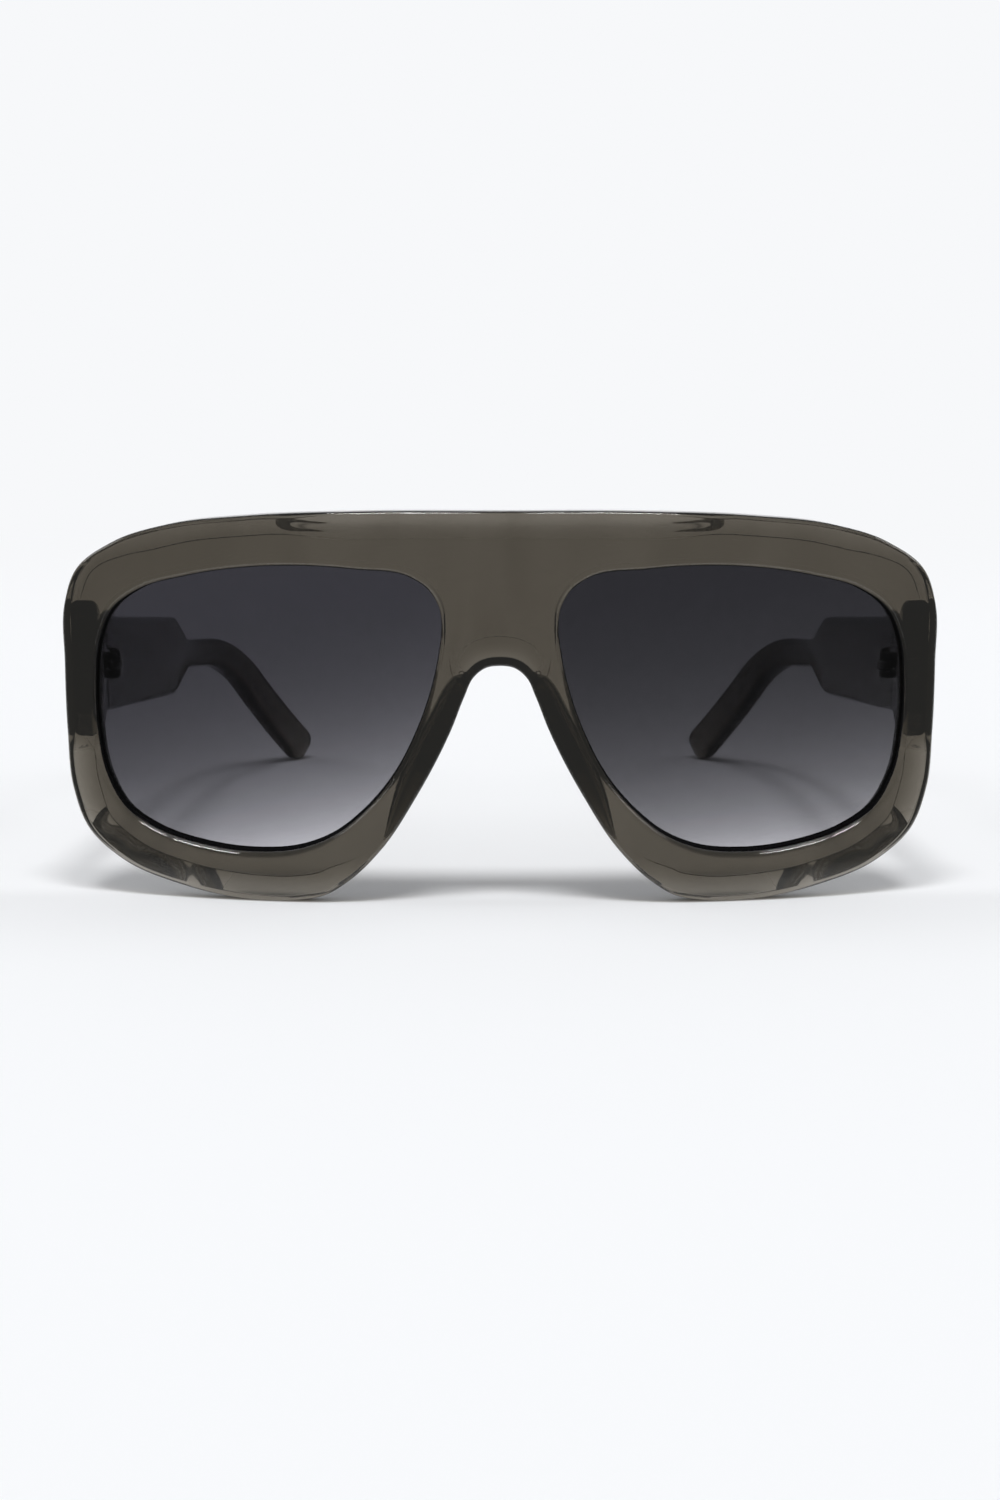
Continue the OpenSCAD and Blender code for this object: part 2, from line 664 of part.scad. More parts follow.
module temple(side) {
    color(acetate)
        at_hinge(side)
            difference() {
                skin(temple_rings);
                temple_leaf_solid(pocket_play);
                skin(wire_rings(wire_r + wire_play, wire_play));
            }
}

module core_wire(side) {
    color(steel)
        at_hinge(side)
            skin(wire_rings(wire_r, 0));
}

front_frame();
lens(1);  // lens_left
lens(-1);  // lens_right
nose_pad(1);  // nose_pad_left
nose_pad(-1);  // nose_pad_right
endpiece(1);  // endpiece_left
endpiece(-1);  // endpiece_right
temple(1);  // temple_left
temple(-1);  // temple_right
core_wire(1);  // core_wire_left
core_wire(-1);  // core_wire_right
hinge_front_leaf(1);  // hinge_front_leaf_left
hinge_front_leaf(-1);  // hinge_front_leaf_right
hinge_temple_leaf(1);  // hinge_temple_leaf_left
hinge_temple_leaf(-1);  // hinge_temple_leaf_right
hinge_screw(1);  // hinge_screw_left
hinge_screw(-1);  // hinge_screw_right
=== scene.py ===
"""Looks of the oversized square sunglasses: smoky acetate, graded lenses, steel hinges and the white studio.

Shapes are worked out in millimetres, in the same frame as the CAD part, and their meshes are made in metres.
The front is drawn flat as across and up, then bent about a vertical axis behind it, as in the part's source.
"""

import logging
import math
from dataclasses import dataclass, field
from enum import Enum
from typing import Callable, Iterable, Sequence

import bmesh
import bpy
import numpy as np
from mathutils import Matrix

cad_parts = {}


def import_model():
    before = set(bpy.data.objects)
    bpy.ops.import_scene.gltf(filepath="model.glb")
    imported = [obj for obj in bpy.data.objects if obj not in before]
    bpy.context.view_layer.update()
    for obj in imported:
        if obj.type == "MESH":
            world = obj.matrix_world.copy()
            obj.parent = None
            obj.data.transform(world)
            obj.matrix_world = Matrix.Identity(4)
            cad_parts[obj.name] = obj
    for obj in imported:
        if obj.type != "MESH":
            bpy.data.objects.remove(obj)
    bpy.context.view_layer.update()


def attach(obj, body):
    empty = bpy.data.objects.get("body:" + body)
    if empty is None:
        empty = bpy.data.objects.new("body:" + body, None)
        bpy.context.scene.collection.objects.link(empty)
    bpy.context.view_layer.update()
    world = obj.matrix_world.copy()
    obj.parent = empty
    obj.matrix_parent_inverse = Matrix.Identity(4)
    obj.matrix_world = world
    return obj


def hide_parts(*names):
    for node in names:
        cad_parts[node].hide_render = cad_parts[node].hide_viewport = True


LOG = logging.getLogger("sunglasses")
MM = 0.001
SHARP_ANGLE = math.radians(38)
PAD_SHARP_ANGLE = math.radians(60)
MERGE_DISTANCE = 1e-7
SLIVER_DISTANCE = 1e-8
LEAST_HALF_SIDE = 0.05
FLOAT, COLOUR = "NodeSocketFloat", "NodeSocketColor"
NEUTRAL = (1.0, 1.0, 1.0, 1.0)
BRIGHT_STEEL = (0.85, 0.84, 0.82, 1.0)

Socket = bpy.types.NodeSocket
Colour = tuple[float, float, float, float]
Corner = tuple[float, float, float]
Span = tuple[float, float]
Value = float | Colour | Socket
Values = dict[str | int, Value]
Distance = float | np.ndarray


class Side(Enum):
    """Side of the wearer, with the sign of X there."""

    LEFT = 1
    RIGHT = -1

    @property
    def word(self) -> str:
        """The side's name as the CAD nodes use it."""
        return self.name.lower()

    @property
    def temple_body(self) -> str:
        """The CAD body of the temple on this side."""
        return f"{self.word}_temple"


class Slot(Enum):
    """Material slots of the record."""

    ACETATE = "acetate"
    LENS = "lens"
    HINGE = "hinge_steel"
    WIRE = "wire_steel"


class Body(Enum):
    """The CAD body that does not fold."""

    FRONT = "front"


class HingePiece(Enum):
    """Pieces of a hinge, as the CAD nodes name them."""

    FRONT_LEAF = "hinge_front_leaf"
    TEMPLE_LEAF = "hinge_temple_leaf"
    SCREW = "hinge_screw"


# Node trees


class Wiring:
    """Adds nodes to one node tree and joins them."""

    def __init__(self, tree: bpy.types.NodeTree) -> None:
        """Takes a tree and empties it.

        Args:
            tree: The node tree of a material, a world or a group.
        """
        self.tree = tree
        tree.nodes.clear()

    def node(self, kind: str, values: Values | None = None, **settings: object) -> bpy.types.Node:
        """Adds a node.

        Args:
            kind: The node's type.
            values: Input name or number to a plain value or to a socket that feeds it.
            settings: Properties of the node itself.

        Returns:
            The new node.
        """
        made = self.tree.nodes.new(kind)
        for name, value in settings.items():
            setattr(made, name, value)
        for name, value in (values or {}).items():
            if isinstance(value, Socket):
                self.tree.links.new(value, made.inputs[name])
            else:
                made.inputs[name].default_value = value
        return made

    def maths(self, operation: str, *values: Value, clamp: bool = False) -> Socket:
        """Adds a Math node.

        Args:
            operation: The node's operation.
            values: Its inputs in order, each a number or a socket.
            clamp: Whether the result is kept between 0 and 1.

        Returns:
            The result's socket.
        """
        made = self.node("ShaderNodeMath", dict(enumerate(values)), operation=operation, use_clamp=clamp)
        return made.outputs[0]

    def blend(self, share: Value, first: Value, second: Value) -> Socket:
        """Mixes two colours.

        Args:
            share: How much of the second colour, a number or a socket.
            first: The colour at 0.
            second: The colour at 1.

        Returns:
            The mixed colour's socket.
        """
        made = self.node("ShaderNodeMix", {0: share, 6: first, 7: second}, data_type="RGBA")
        return made.outputs[2]

    def ramp(self, value: Socket, low: Value, high: Value, smooth: bool = True) -> Socket:
        """Maps a value to 0 at low and 1 at high.

        Args:
            value: The socket to map.
            low: Value that gives 0, a number or a socket.
            high: Value that gives 1, a number or a socket.
            smooth: Whether the ends are eased.

        Returns:
            The mapped value's socket.
        """
        made = self.node(
            "ShaderNodeMapRange",
            {"Value": value, "From Min": low, "From Max": high},
            interpolation_type="SMOOTHSTEP" if smooth else "LINEAR",
        )
        return made.outputs["Result"]

    def place(self) -> Socket:
        """Adds the place on the object, in metres."""
        return self.node("ShaderNodeTexCoord").outputs["Object"]

    def noise(self, place: Socket, scale: Value, detail: float, distortion: float = 0.0) -> Socket:
        """Adds a noise.

        Args:
            place: Where it is read.
            scale: How fine it is, a number or a socket.
            detail: Number of finer layers in it.
            distortion: How far its forms are drawn about.

        Returns:
            The noise's socket.
        """
        values = {"Vector": place, "Scale": scale, "Detail": detail, "Distortion": distortion}
        return self.node("ShaderNodeTexNoise", values).outputs[0]


class GroupKind(Enum):
    """Shader node groups that more than one material uses."""

    POLISH = "hand_polish"
    CLOUDS = "smoke_clouds"
    TINT = "graded_tint"
    BRUSHING = "brushed_metal"


def new_group(
    kind: GroupKind, inputs: dict[str, float | Colour], outputs: dict[str, str]
) -> tuple[bpy.types.NodeTree, Wiring, dict[str, Socket]]:
    """Makes a shader group with named sockets.

    Args:
        kind: The group to make.
        inputs: Input name to its default value, a number or a colour.
        outputs: Output name to its socket type.

    Returns:
        The group, the wiring to fill it with, and the sockets that its inputs are read from.
    """
    tree = bpy.data.node_groups.new(kind.value, "ShaderNodeTree")
    wiring = Wiring(tree)
    for name, value in inputs.items():
        socket_type = COLOUR if isinstance(value, tuple) else FLOAT
        socket = tree.interface.new_socket(name=name, in_out="INPUT", socket_type=socket_type)
        socket.default_value = value
    for name, socket_type in outputs.items():
        tree.interface.new_socket(name=name, in_out="OUTPUT", socket_type=socket_type)
    given = wiring.node("NodeGroupInput")
    return tree, wiring, {name: given.outputs[name] for name in inputs}


class Effects:
    """The shared groups, each built at its first use."""

    def __init__(self) -> None:
        """Starts with no group built."""
        self.built: dict[GroupKind, bpy.types.NodeTree] = {}

    def place(self, wiring: Wiring, kind: GroupKind, values: Values) -> bpy.types.Node:
        """Places a group in a material.

        Args:
            wiring: The material's wiring.
            kind: The group to place.
            values: The group's inputs for this material.

        Returns:
            The group node.
        """
        if kind not in self.built:
            makers: dict[GroupKind, Callable[[], bpy.types.NodeTree]] = {
                GroupKind.POLISH: self.polish,
                GroupKind.CLOUDS: self.clouds,
                GroupKind.TINT: self.tint,
                GroupKind.BRUSHING: self.brushing,
            }
            self.built[kind] = makers[kind]()
        return wiring.node("ShaderNodeGroup", values, node_tree=self.built[kind])

    @staticmethod
    def polish() -> bpy.types.NodeTree:
        """Hand polish: slow waves in the surface, hairline wipe marks and a few duller patches.

        Returns:
            The group.
        """
        tree, w, given = new_group(
            GroupKind.POLISH,
            {"Gloss Roughness": 0.02, "Mark Roughness": 0.1, "Wave": 0.4, "Marks": 0.3},
            {"Roughness": FLOAT, "Height": FLOAT},
        )
        wave_scale, patch_scale, patch_dulling, mark_depth = 110.0, 55.0, 0.25, 0.05
        hair_turn, hair_stretch = (0.4, 0.9, 0.3), (180.0, 2600.0, 5200.0)
        hair_edges, patch_edges = (0.66, 0.74), (0.48, 0.72)
        place = w.place()
        turned = w.node("ShaderNodeMapping", {"Vector": place, "Rotation": hair_turn, "Scale": hair_stretch})
        hairs = w.ramp(w.noise(turned.outputs[0], 1.0, detail=2.0), *hair_edges)
        patches = w.ramp(w.noise(place, patch_scale, detail=3.0), *patch_edges)
        marks = w.maths("MULTIPLY", w.maths("MULTIPLY", hairs, patches), given["Marks"])
        spread = w.maths("SUBTRACT", given["Mark Roughness"], given["Gloss Roughness"])
        dull = w.maths("ADD", marks, w.maths("MULTIPLY", patches, patch_dulling), clamp=True)
        roughness = w.maths("ADD", given["Gloss Roughness"], w.maths("MULTIPLY", spread, dull))
        waves = w.maths("MULTIPLY", w.noise(place, wave_scale, detail=1.0), given["Wave"])
        height = w.maths("SUBTRACT", waves, w.maths("MULTIPLY", marks, mark_depth))
        w.node("NodeGroupOutput", {"Roughness": roughness, "Height": height})
        return tree

    @staticmethod
    def clouds() -> bpy.types.NodeTree:
        """Smoke in the sheet: long-drawn clouds, with the colour darker towards the top.

        Returns:
            The group.
        """
        tree, w, given = new_group(
            GroupKind.CLOUDS,
            {"Clear": NEUTRAL, "Smoky": (0.5, 0.47, 0.42, 1.0), "Scale": 40.0, "Top Darkening": 0.42},
            {"Color": COLOUR},
        )
        drawn_out, cloud_edges, cloud_share, darkening_heights = (1.6, 1.0, 0.55), (0.3, 0.7), 0.25, (0.01, 0.05)
        place = w.place()
        drawn = w.node("ShaderNodeMapping", {"Vector": place, "Scale": drawn_out})
        noise = w.noise(drawn.outputs[0], given["Scale"], detail=3.0, distortion=0.6)
        split = w.node("ShaderNodeSeparateXYZ", {"Vector": place})
        # Colour darker towards the top, from 10 mm up to 50 mm high.
        top_darkening = w.maths("MULTIPLY", w.ramp(split.outputs["Z"], *darkening_heights), given["Top Darkening"])
        cloud = w.maths("MULTIPLY", w.ramp(noise, *cloud_edges), cloud_share)
        share = w.maths("ADD", top_darkening, cloud, clamp=True)
        w.node("NodeGroupOutput", {"Color": w.blend(share, given["Clear"], given["Smoky"])})
        return tree

    @staticmethod
    def tint() -> bpy.types.NodeTree:
        """Graded lens dye: dense at the top and thin at the bottom, by height along a line that may lean.

        Returns:
            The group.
        """
        tree, w, given = new_group(
            GroupKind.TINT,
            {
                "Top": 0.057,
                "Bottom": 0.007,
                "Lean": 0.0,
                "Middle": 0.04,
                "Density": -3.5,
                "Rise": 2.5,
                "Fade": 2.0,
                "Top Tint": (0.9, 0.93, 1.1, 1.0),
                "Bottom Tint": NEUTRAL,
            },
            {"Color": COLOUR},
        )
        mottle_scale, mottle_share = 160.0, 0.012
        place = w.place()
        split = w.node("ShaderNodeSeparateXYZ", {"Vector": place})
        across = w.maths("SUBTRACT", split.outputs["X"], given["Middle"])
        height = w.maths("ADD", split.outputs["Z"], w.maths("MULTIPLY", across, given["Lean"]))
        share = w.ramp(height, given["Top"], given["Bottom"], smooth=False)
        mottle = w.maths("SUBTRACT", w.noise(place, mottle_scale, detail=2.0), 0.5)
        stirred = w.maths("ADD", share, w.maths("MULTIPLY", mottle, mottle_share))
        faded = w.maths("POWER", w.maths("MAXIMUM", stirred, 0.0), given["Fade"])
        log = w.maths("ADD", given["Density"], w.maths("MULTIPLY", faded, given["Rise"]))
        hue = w.blend(share, given["Top Tint"], given["Bottom Tint"])
        values = {0: hue, "Scale": w.maths("EXPONENT", log)}
        scaled = w.node("ShaderNodeVectorMath", values, operation="SCALE")
        w.node("NodeGroupOutput", {"Color": scaled.outputs[0]})
        return tree

    @staticmethod
    def brushing() -> bpy.types.NodeTree:
        """Brushed metal: fine streaks one way, and tarnish in patches.

        Returns:
            The group.
        """
        tree, w, given = new_group(
            GroupKind.BRUSHING,
            {
                "Bright": (0.7, 0.69, 0.66, 1.0),
                "Dull": (0.4, 0.38, 0.35, 1.0),
                "Across": 9000.0,
                "Along": 500.0,
                "Roughness Low": 0.18,
                "Roughness High": 0.42,
            },
            {"Color": COLOUR, "Roughness": FLOAT, "Height": FLOAT},
        )
        patch_scale, streak_weight, patch_weight = 900.0, 0.55, 0.45
        streak_edges, patch_edges = (0.3, 0.7), (0.45, 0.75)
        place, across, along = w.place(), given["Across"], given["Along"]
        stretch = w.node("ShaderNodeCombineXYZ", {0: across, 1: along, 2: across})
        laid = w.node("ShaderNodeVectorMath", {0: place, 1: stretch.outputs[0]}, operation="MULTIPLY")
        streaks = w.ramp(w.noise(laid.outputs[0], 1.0, detail=3.0), *streak_edges)
        patches = w.ramp(w.noise(place, patch_scale, detail=2.0), *patch_edges)
        dull = w.maths("MULTIPLY", streaks, streak_weight)
        dull = w.maths("ADD", dull, w.maths("MULTIPLY", patches, patch_weight))
        colour = w.blend(dull, given["Bright"], given["Dull"])
        spread = w.maths("SUBTRACT", given["Roughness High"], given["Roughness Low"])
        roughness = w.maths("ADD", given["Roughness Low"], w.maths("MULTIPLY", spread, dull))
        w.node("NodeGroupOutput", {"Color": colour, "Roughness": roughness, "Height": streaks})
        return tree


def new_material(name: str) -> tuple[bpy.types.Material, Wiring]:
    """Makes an empty material.

    Args:
        name: The material's name.

    Returns:
        The material and the wiring to fill it with.
    """
    material = bpy.data.materials.new(name)
    material.use_nodes = True
    return material, Wiring(material.node_tree)


def bump(w: Wiring, height: Socket, distance: float) -> Socket:
    """Turns a height, which reaches over a distance in metres, into a normal."""
    return w.node("ShaderNodeBump", {"Height": height, "Distance": distance}).outputs[0]


def lamp_pass(w: Wiring, shader: Socket, colour: Value) -> Socket:
    """Lets the light of the lamps through clear material, so that what lies behind it is lit.

    Args:
        w: The material's wiring.
        shader: The material's own shader.
        colour: The tint that the light takes, a colour or a socket.

    Returns:
        The mixed shader's socket.
    """
    clear = w.node("ShaderNodeBsdfTransparent", {"Color": colour}).outputs[0]
    lamp_ray = w.node("ShaderNodeLightPath").outputs["Is Shadow Ray"]
    return w.node("ShaderNodeMixShader", {0: lamp_ray, 1: shader, 2: clear}).outputs[0]


@dataclass(frozen=True)
class Polish:
    """How well a surface is polished."""

    gloss: float
    marked: float
    waves: float
    marks: float
    depth: float

    def place(self, effects: Effects, w: Wiring) -> dict[str, Socket]:
        """Places the polish in a material.

        Args:
            effects: The shared groups.
            w: The material's wiring.

        Returns:
            The Roughness and the Normal for the material's shader.
        """
        values = {"Gloss Roughness": self.gloss, "Mark Roughness": self.marked}
        values |= {"Wave": self.waves, "Marks": self.marks}
        made = effects.place(w, GroupKind.POLISH, values)
        return {"Roughness": made.outputs["Roughness"], "Normal": bump(w, made.outputs["Height"], self.depth)}


@dataclass(frozen=True)
class AcetateFinish:
    """Polished see-through acetate whose colour comes from its thickness.

    Its painted glow, a faint emission that is the same all over, stands in for the light that real acetate
    scatters.
    """

    name: str = "smoky_acetate"
    absorbing_colour: Colour = (0.585, 0.56, 0.515, 1.0)
    density: float = 1000.0
    refraction: float = 1.49
    clear: Colour = NEUTRAL
    smoky: Colour = (0.5, 0.475, 0.43, 1.0)
    cloud_scale: float = 42.0
    clarity: float = 1.0
    painted_glow: Colour = (1.0, 1.0, 0.95, 1.0)
    painted_glow_strength: float = 0.013
    polish: Polish = Polish(gloss=0.012, marked=0.075, waves=0.5, marks=0.5, depth=0.00006)

    def build(self, effects: Effects) -> bpy.types.Material:
        """Makes the material.

        Args:
            effects: The shared groups.

        Returns:
            The material.
        """
        material, w = new_material(self.name)
        cloudy = {"Clear": self.clear, "Smoky": self.smoky, "Scale": self.cloud_scale}
        surface = w.node(
            "ShaderNodeBsdfPrincipled",
            {
                "Base Color": effects.place(w, GroupKind.CLOUDS, cloudy).outputs["Color"],
                "IOR": self.refraction,
                "Transmission Weight": self.clarity,
                # Faint emission: a painted glow that lifts the acetate's tone in place of scattered light.
                "Emission Color": self.painted_glow,
                "Emission Strength": self.painted_glow_strength,
                **self.polish.place(effects, w),
            },
        )
        absorbing = {"Color": self.absorbing_colour, "Density": self.density}
        inside = w.node("ShaderNodeVolumeAbsorption", absorbing).outputs[0]
        shown = lamp_pass(w, surface.outputs[0], NEUTRAL)
        w.node("ShaderNodeOutputMaterial", {"Surface": shown, "Volume": inside})
        return material


@dataclass(frozen=True)
class GrooveShadeFinish:
    """Near-black finish in the groove and on the bevel of a lens: painted shade for the dark line round each
    lens.
    """

    name: str
    shade_deep: Colour = (0.006, 0.006, 0.007, 1.0)
    shade_mottled: Colour = (0.016, 0.016, 0.015, 1.0)
    scale: float = 900.0
    gloss: float = 0.12
    polish: Polish = Polish(gloss=0.22, marked=0.5, waves=0.3, marks=0.8, depth=0.00005)

    def build(self, effects: Effects) -> bpy.types.Material:
        """Makes the material.

        Args:
            effects: The shared groups.

        Returns:
            The material.
        """
        material, w = new_material(self.name)
        # Painted shade, mottled at random between two near-black tones.
        cloudy = {"Clear": self.shade_deep, "Smoky": self.shade_mottled, "Scale": self.scale}
        surface = w.node(
            "ShaderNodeBsdfPrincipled",
            {
                "Base Color": effects.place(w, GroupKind.CLOUDS, cloudy).outputs["Color"],
                "Specular IOR Level": self.gloss,
                **self.polish.place(effects, w),
            },
        )
        w.node("ShaderNodeOutputMaterial", {"Surface": surface.outputs[0]})
        return material


@dataclass(frozen=True)
class LensFinish:
    """Tinted lens whose dye thins towards the bottom."""

    name: str
    top: float
    bottom: float
    middle: float
    lean: float
    density: float
    rise: float
    fade: float
    top_tint: Colour = (1.0, 0.975, 1.165, 1.0)
    bottom_tint: Colour = (1.0, 0.987, 1.025, 1.0)
    refraction: float = 1.5
    clarity: float = 1.0
    polish: Polish = Polish(gloss=0.004, marked=0.03, waves=0.12, marks=0.25, depth=0.00003)

    def build(self, effects: Effects) -> bpy.types.Material:
        """Makes the material.

        Args:
            effects: The shared groups.

        Returns:
            The material.
        """
        material, w = new_material(self.name)
        dyed = {
            "Top": self.top * MM,
            "Bottom": self.bottom * MM,
            "Middle": self.middle * MM,
            "Lean": self.lean,
            "Density": self.density,
            "Rise": self.rise,
            "Fade": self.fade,
            "Top Tint": self.top_tint,
            "Bottom Tint": self.bottom_tint,
        }
        tint = effects.place(w, GroupKind.TINT, dyed).outputs["Color"]
        surface = w.node(
            "ShaderNodeBsdfPrincipled",
            {
                "Base Color": tint,
                "IOR": self.refraction,
                "Transmission Weight": self.clarity,
                **self.polish.place(effects, w),
            },
        )
        w.node("ShaderNodeOutputMaterial", {"Surface": lamp_pass(w, surface.outputs[0], tint)})
        return material


@dataclass(frozen=True)
class SteelFinish:
    """Brushed steel of hinges, screws and core wires."""

    name: str
    bright: Colour = (0.7, 0.69, 0.66, 1.0)
    dull: Colour = (0.42, 0.4, 0.37, 1.0)
    across: float = 9000.0
    along: float = 600.0
    low: float = 0.16
    high: float = 0.4
    depth: float = 0.000012

    def build(self, effects: Effects) -> bpy.types.Material:
        """Makes the material.

        Args:
            effects: The shared groups.

        Returns:
            The material.
        """
        material, w = new_material(self.name)
        brushed = {
            "Bright": self.bright,
            "Dull": self.dull,
            "Across": self.across,
            "Along": self.along,
            "Roughness Low": self.low,
            "Roughness High": self.high,
        }
        brushing = effects.place(w, GroupKind.BRUSHING, brushed)
        surface = w.node(
            "ShaderNodeBsdfPrincipled",
            {
                "Base Color": brushing.outputs["Color"],
                "Roughness": brushing.outputs["Roughness"],
                "Metallic": 1.0,
                "Normal": bump(w, brushing.outputs["Height"], self.depth),
            },
        )
        w.node("ShaderNodeOutputMaterial", {"Surface": surface.outputs[0]})
        return material


# Lines and meshes


def headings(before: np.ndarray, here: np.ndarray, after: np.ndarray) -> np.ndarray:
    """Headings of a smooth line: at each point the circle through it and its neighbours.

    Args:
        before: The points before.
        here: The points.
        after: The points after.

    Returns:
        One unit vector for each point.
    """
    come, go = here - before, after - here
    come_len = np.linalg.norm(come, axis=1, keepdims=True)
    go_len = np.linalg.norm(go, axis=1, keepdims=True)
    way = come * go_len / come_len + go * come_len / go_len
    return way / np.linalg.norm(way, axis=1, keepdims=True)


def smooth_spans(points: np.ndarray, ways: np.ndarray, steps: int) -> np.ndarray:
    """Points of the smooth line between neighbouring anchors, without the last anchor.

    Args:
        points: The anchors.
        ways: The headings at the anchors.
        steps: Steps in each span.

    Returns:
        The line's points.
    """
    start, end = points[:-1, None, :], points[1:, None, :]
    out_way, in_way = ways[:-1, None, :], ways[1:, None, :]
    reach = np.linalg.norm(end - start, axis=2, keepdims=True)
    f = (np.arange(steps) / steps)[None, :, None]
    line = (
        start * (1 - 3 * f**2 + 2 * f**3)
        + end * (3 * f**2 - 2 * f**3)
        + (out_way * (f - 2 * f**2 + f**3) + in_way * (f**3 - f**2)) * reach
    )
    return line.reshape(-1, 2)


def left_of(way: np.ndarray) -> np.ndarray:
    """Unit vectors to the left of the given ways."""
    way = way / np.linalg.norm(way, axis=1, keepdims=True)
    return np.stack([-way[:, 1], way[:, 0]], axis=1)


def ease(low: float, high: float, x: np.ndarray, base: float = 0.0) -> np.ndarray:
    """0 below low, 1 above high and a smooth step between them, both counted from a base."""
    f = np.clip((x - (base + low)) / ((base + high) - (base + low)), 0, 1)
    return f * f * (3 - 2 * f)


def mirrored(points: np.ndarray) -> np.ndarray:
    """The points on the other side of the middle plane."""
    return points * np.array([-1.0] + [1.0] * (points.shape[1] - 1))


def upright(flat: np.ndarray, y: Distance) -> np.ndarray:
    """Points of a flat outline, across and up, at one distance along or one for each point."""
    return np.column_stack([flat[:, 0], np.full(len(flat), y), flat[:, 1]])


def circle(sides: int) -> np.ndarray:
    """Points round a circle of radius 1, as across and up."""
    turns = np.linspace(0, 2 * math.pi, sides, endpoint=False)
    return np.stack([np.cos(turns), np.sin(turns)], axis=1)


def grid_faces(rows: int, columns: int, closed: bool) -> list[tuple[int, ...]]:
    """Quads between neighbouring rows of points.

    Args:
        rows: Number of rows.
        columns: Points in each row.
        closed: Whether the rows close on themselves.

    Returns:
        The faces as point numbers.
    """
    faces = []
    for row in range(rows - 1):
        for column in range(columns if closed else columns - 1):
            a = row * columns + column
            b = row * columns + (column + 1) % columns
            faces.append((a, b, b + columns, a + columns))
    return faces


@dataclass
class Shell:
    """Points in millimetres and faces that grow into one mesh."""

    points: list[np.ndarray] = field(default_factory=list)
    faces: list[tuple[int, ...]] = field(default_factory=list)
    tones: list[int] = field(default_factory=list)
    count: int = 0

    def add(self, points: np.ndarray, faces: Iterable[Sequence[int]], tones: Sequence[int]) -> None:
        """Adds points with their faces.

        Args:
            points: The points.
            faces: Their faces, which number them from 0.
            tones: The number of each face's material.
        """
        self.points.append(points)
        self.faces += [tuple(k + self.count for k in face) for face in faces]
        self.tones += tones
        self.count += len(points)

    def add_grid(self, rows: Sequence[np.ndarray], closed: bool, tone: int = 0) -> None:
        """Adds quads between rows of points."""
        faces = grid_faces(len(rows), len(rows[0]), closed)
        self.add(np.concatenate(list(rows)), faces, [tone] * len(faces))

    def add_tube(self, rings: Sequence[np.ndarray], shade_bands: range = range(0)) -> None:
        """Adds a closed tube with flat ends.

        Args:
            rings: The rings of points that it runs through.
            shade_bands: The bands between rings that show the second material.
        """
        sides, count = len(rings[0]), len(rings)
        faces = grid_faces(count, sides, True)
        tones = [int(k // sides in shade_bands) for k in range(len(faces))] + [0, 0]
        faces.append(tuple(range(sides - 1, -1, -1)))
        faces.append(tuple(range((count - 1) * sides, count * sides)))
        self.add(np.concatenate(list(rings)), faces, tones)

    def mirror_in(self) -> None:
        """Adds the mirror image of everything so far."""
        points = mirrored(np.concatenate(self.points))
        self.add(points, [tuple(reversed(face)) for face in self.faces], list(self.tones))

    def build(self, name: str, sharp: float = SHARP_ANGLE) -> bpy.types.Object:
        """Makes the piece: points are merged where they meet, and faces look outwards.

        Args:
            name: The piece's name.
            sharp: Angle above which an edge is shown sharp.

        Returns:
            The piece's object.
        """
        mesh = bpy.data.meshes.new(name)
        mesh.from_pydata((np.concatenate(self.points) * MM).tolist(), [], self.faces)
        mesh.polygons.foreach_set("material_index", self.tones)
        work = bmesh.new()
        work.from_mesh(mesh)
        bmesh.ops.remove_doubles(work, verts=work.verts, dist=MERGE_DISTANCE)
        bmesh.ops.dissolve_degenerate(work, edges=work.edges, dist=SLIVER_DISTANCE)
        bmesh.ops.recalc_face_normals(work, faces=work.faces)
        work.to_mesh(mesh)
        work.free()
        mesh.shade_smooth()
        mesh.set_sharp_from_angle(angle=sharp)
        piece = bpy.data.objects.new(name, mesh)
        bpy.context.scene.collection.objects.link(piece)
        return piece


def dress(
    piece: bpy.types.Object, materials: list[bpy.types.Material], body: str, node: str
) -> None:
    """Gives a piece its materials and body, and says which CAD node it stands for.

    Args:
        piece: The piece.
        materials: Its materials, in the order of its faces' tones.
        body: The CAD body that it rides on.
        node: The CAD node that it replaces.
    """
    for material in materials:
        piece.data.materials.append(material)
    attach(piece, body)
    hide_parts(node)
    LOG.info("%s: %d faces on %s for %s", piece.name, len(piece.data.polygons), body, node)


def rounded_box(width: float, height: float, radius: float, steps: int) -> np.ndarray:
    """Outline of a rounded rectangle about its middle, anticlockwise from its right side.

    Args:
        width: Size across.
        height: Size up.
        radius: Corner radius.
        steps: Steps in each corner.

    Returns:
        The outline's points.
    """
    radius = min(radius, width / 2 - LEAST_HALF_SIDE, height / 2 - LEAST_HALF_SIDE)
    points = []
    for quarter, (right, up) in enumerate(((1, 1), (-1, 1), (-1, -1), (1, -1))):
        for step in range(steps + 1):
            a = math.radians(quarter * 90 + step * 90 / steps)
            x = right * (width / 2 - radius) + radius * math.cos(a)
            points.append((x, up * (height / 2 - radius) + radius * math.sin(a)))
    return np.array(points)


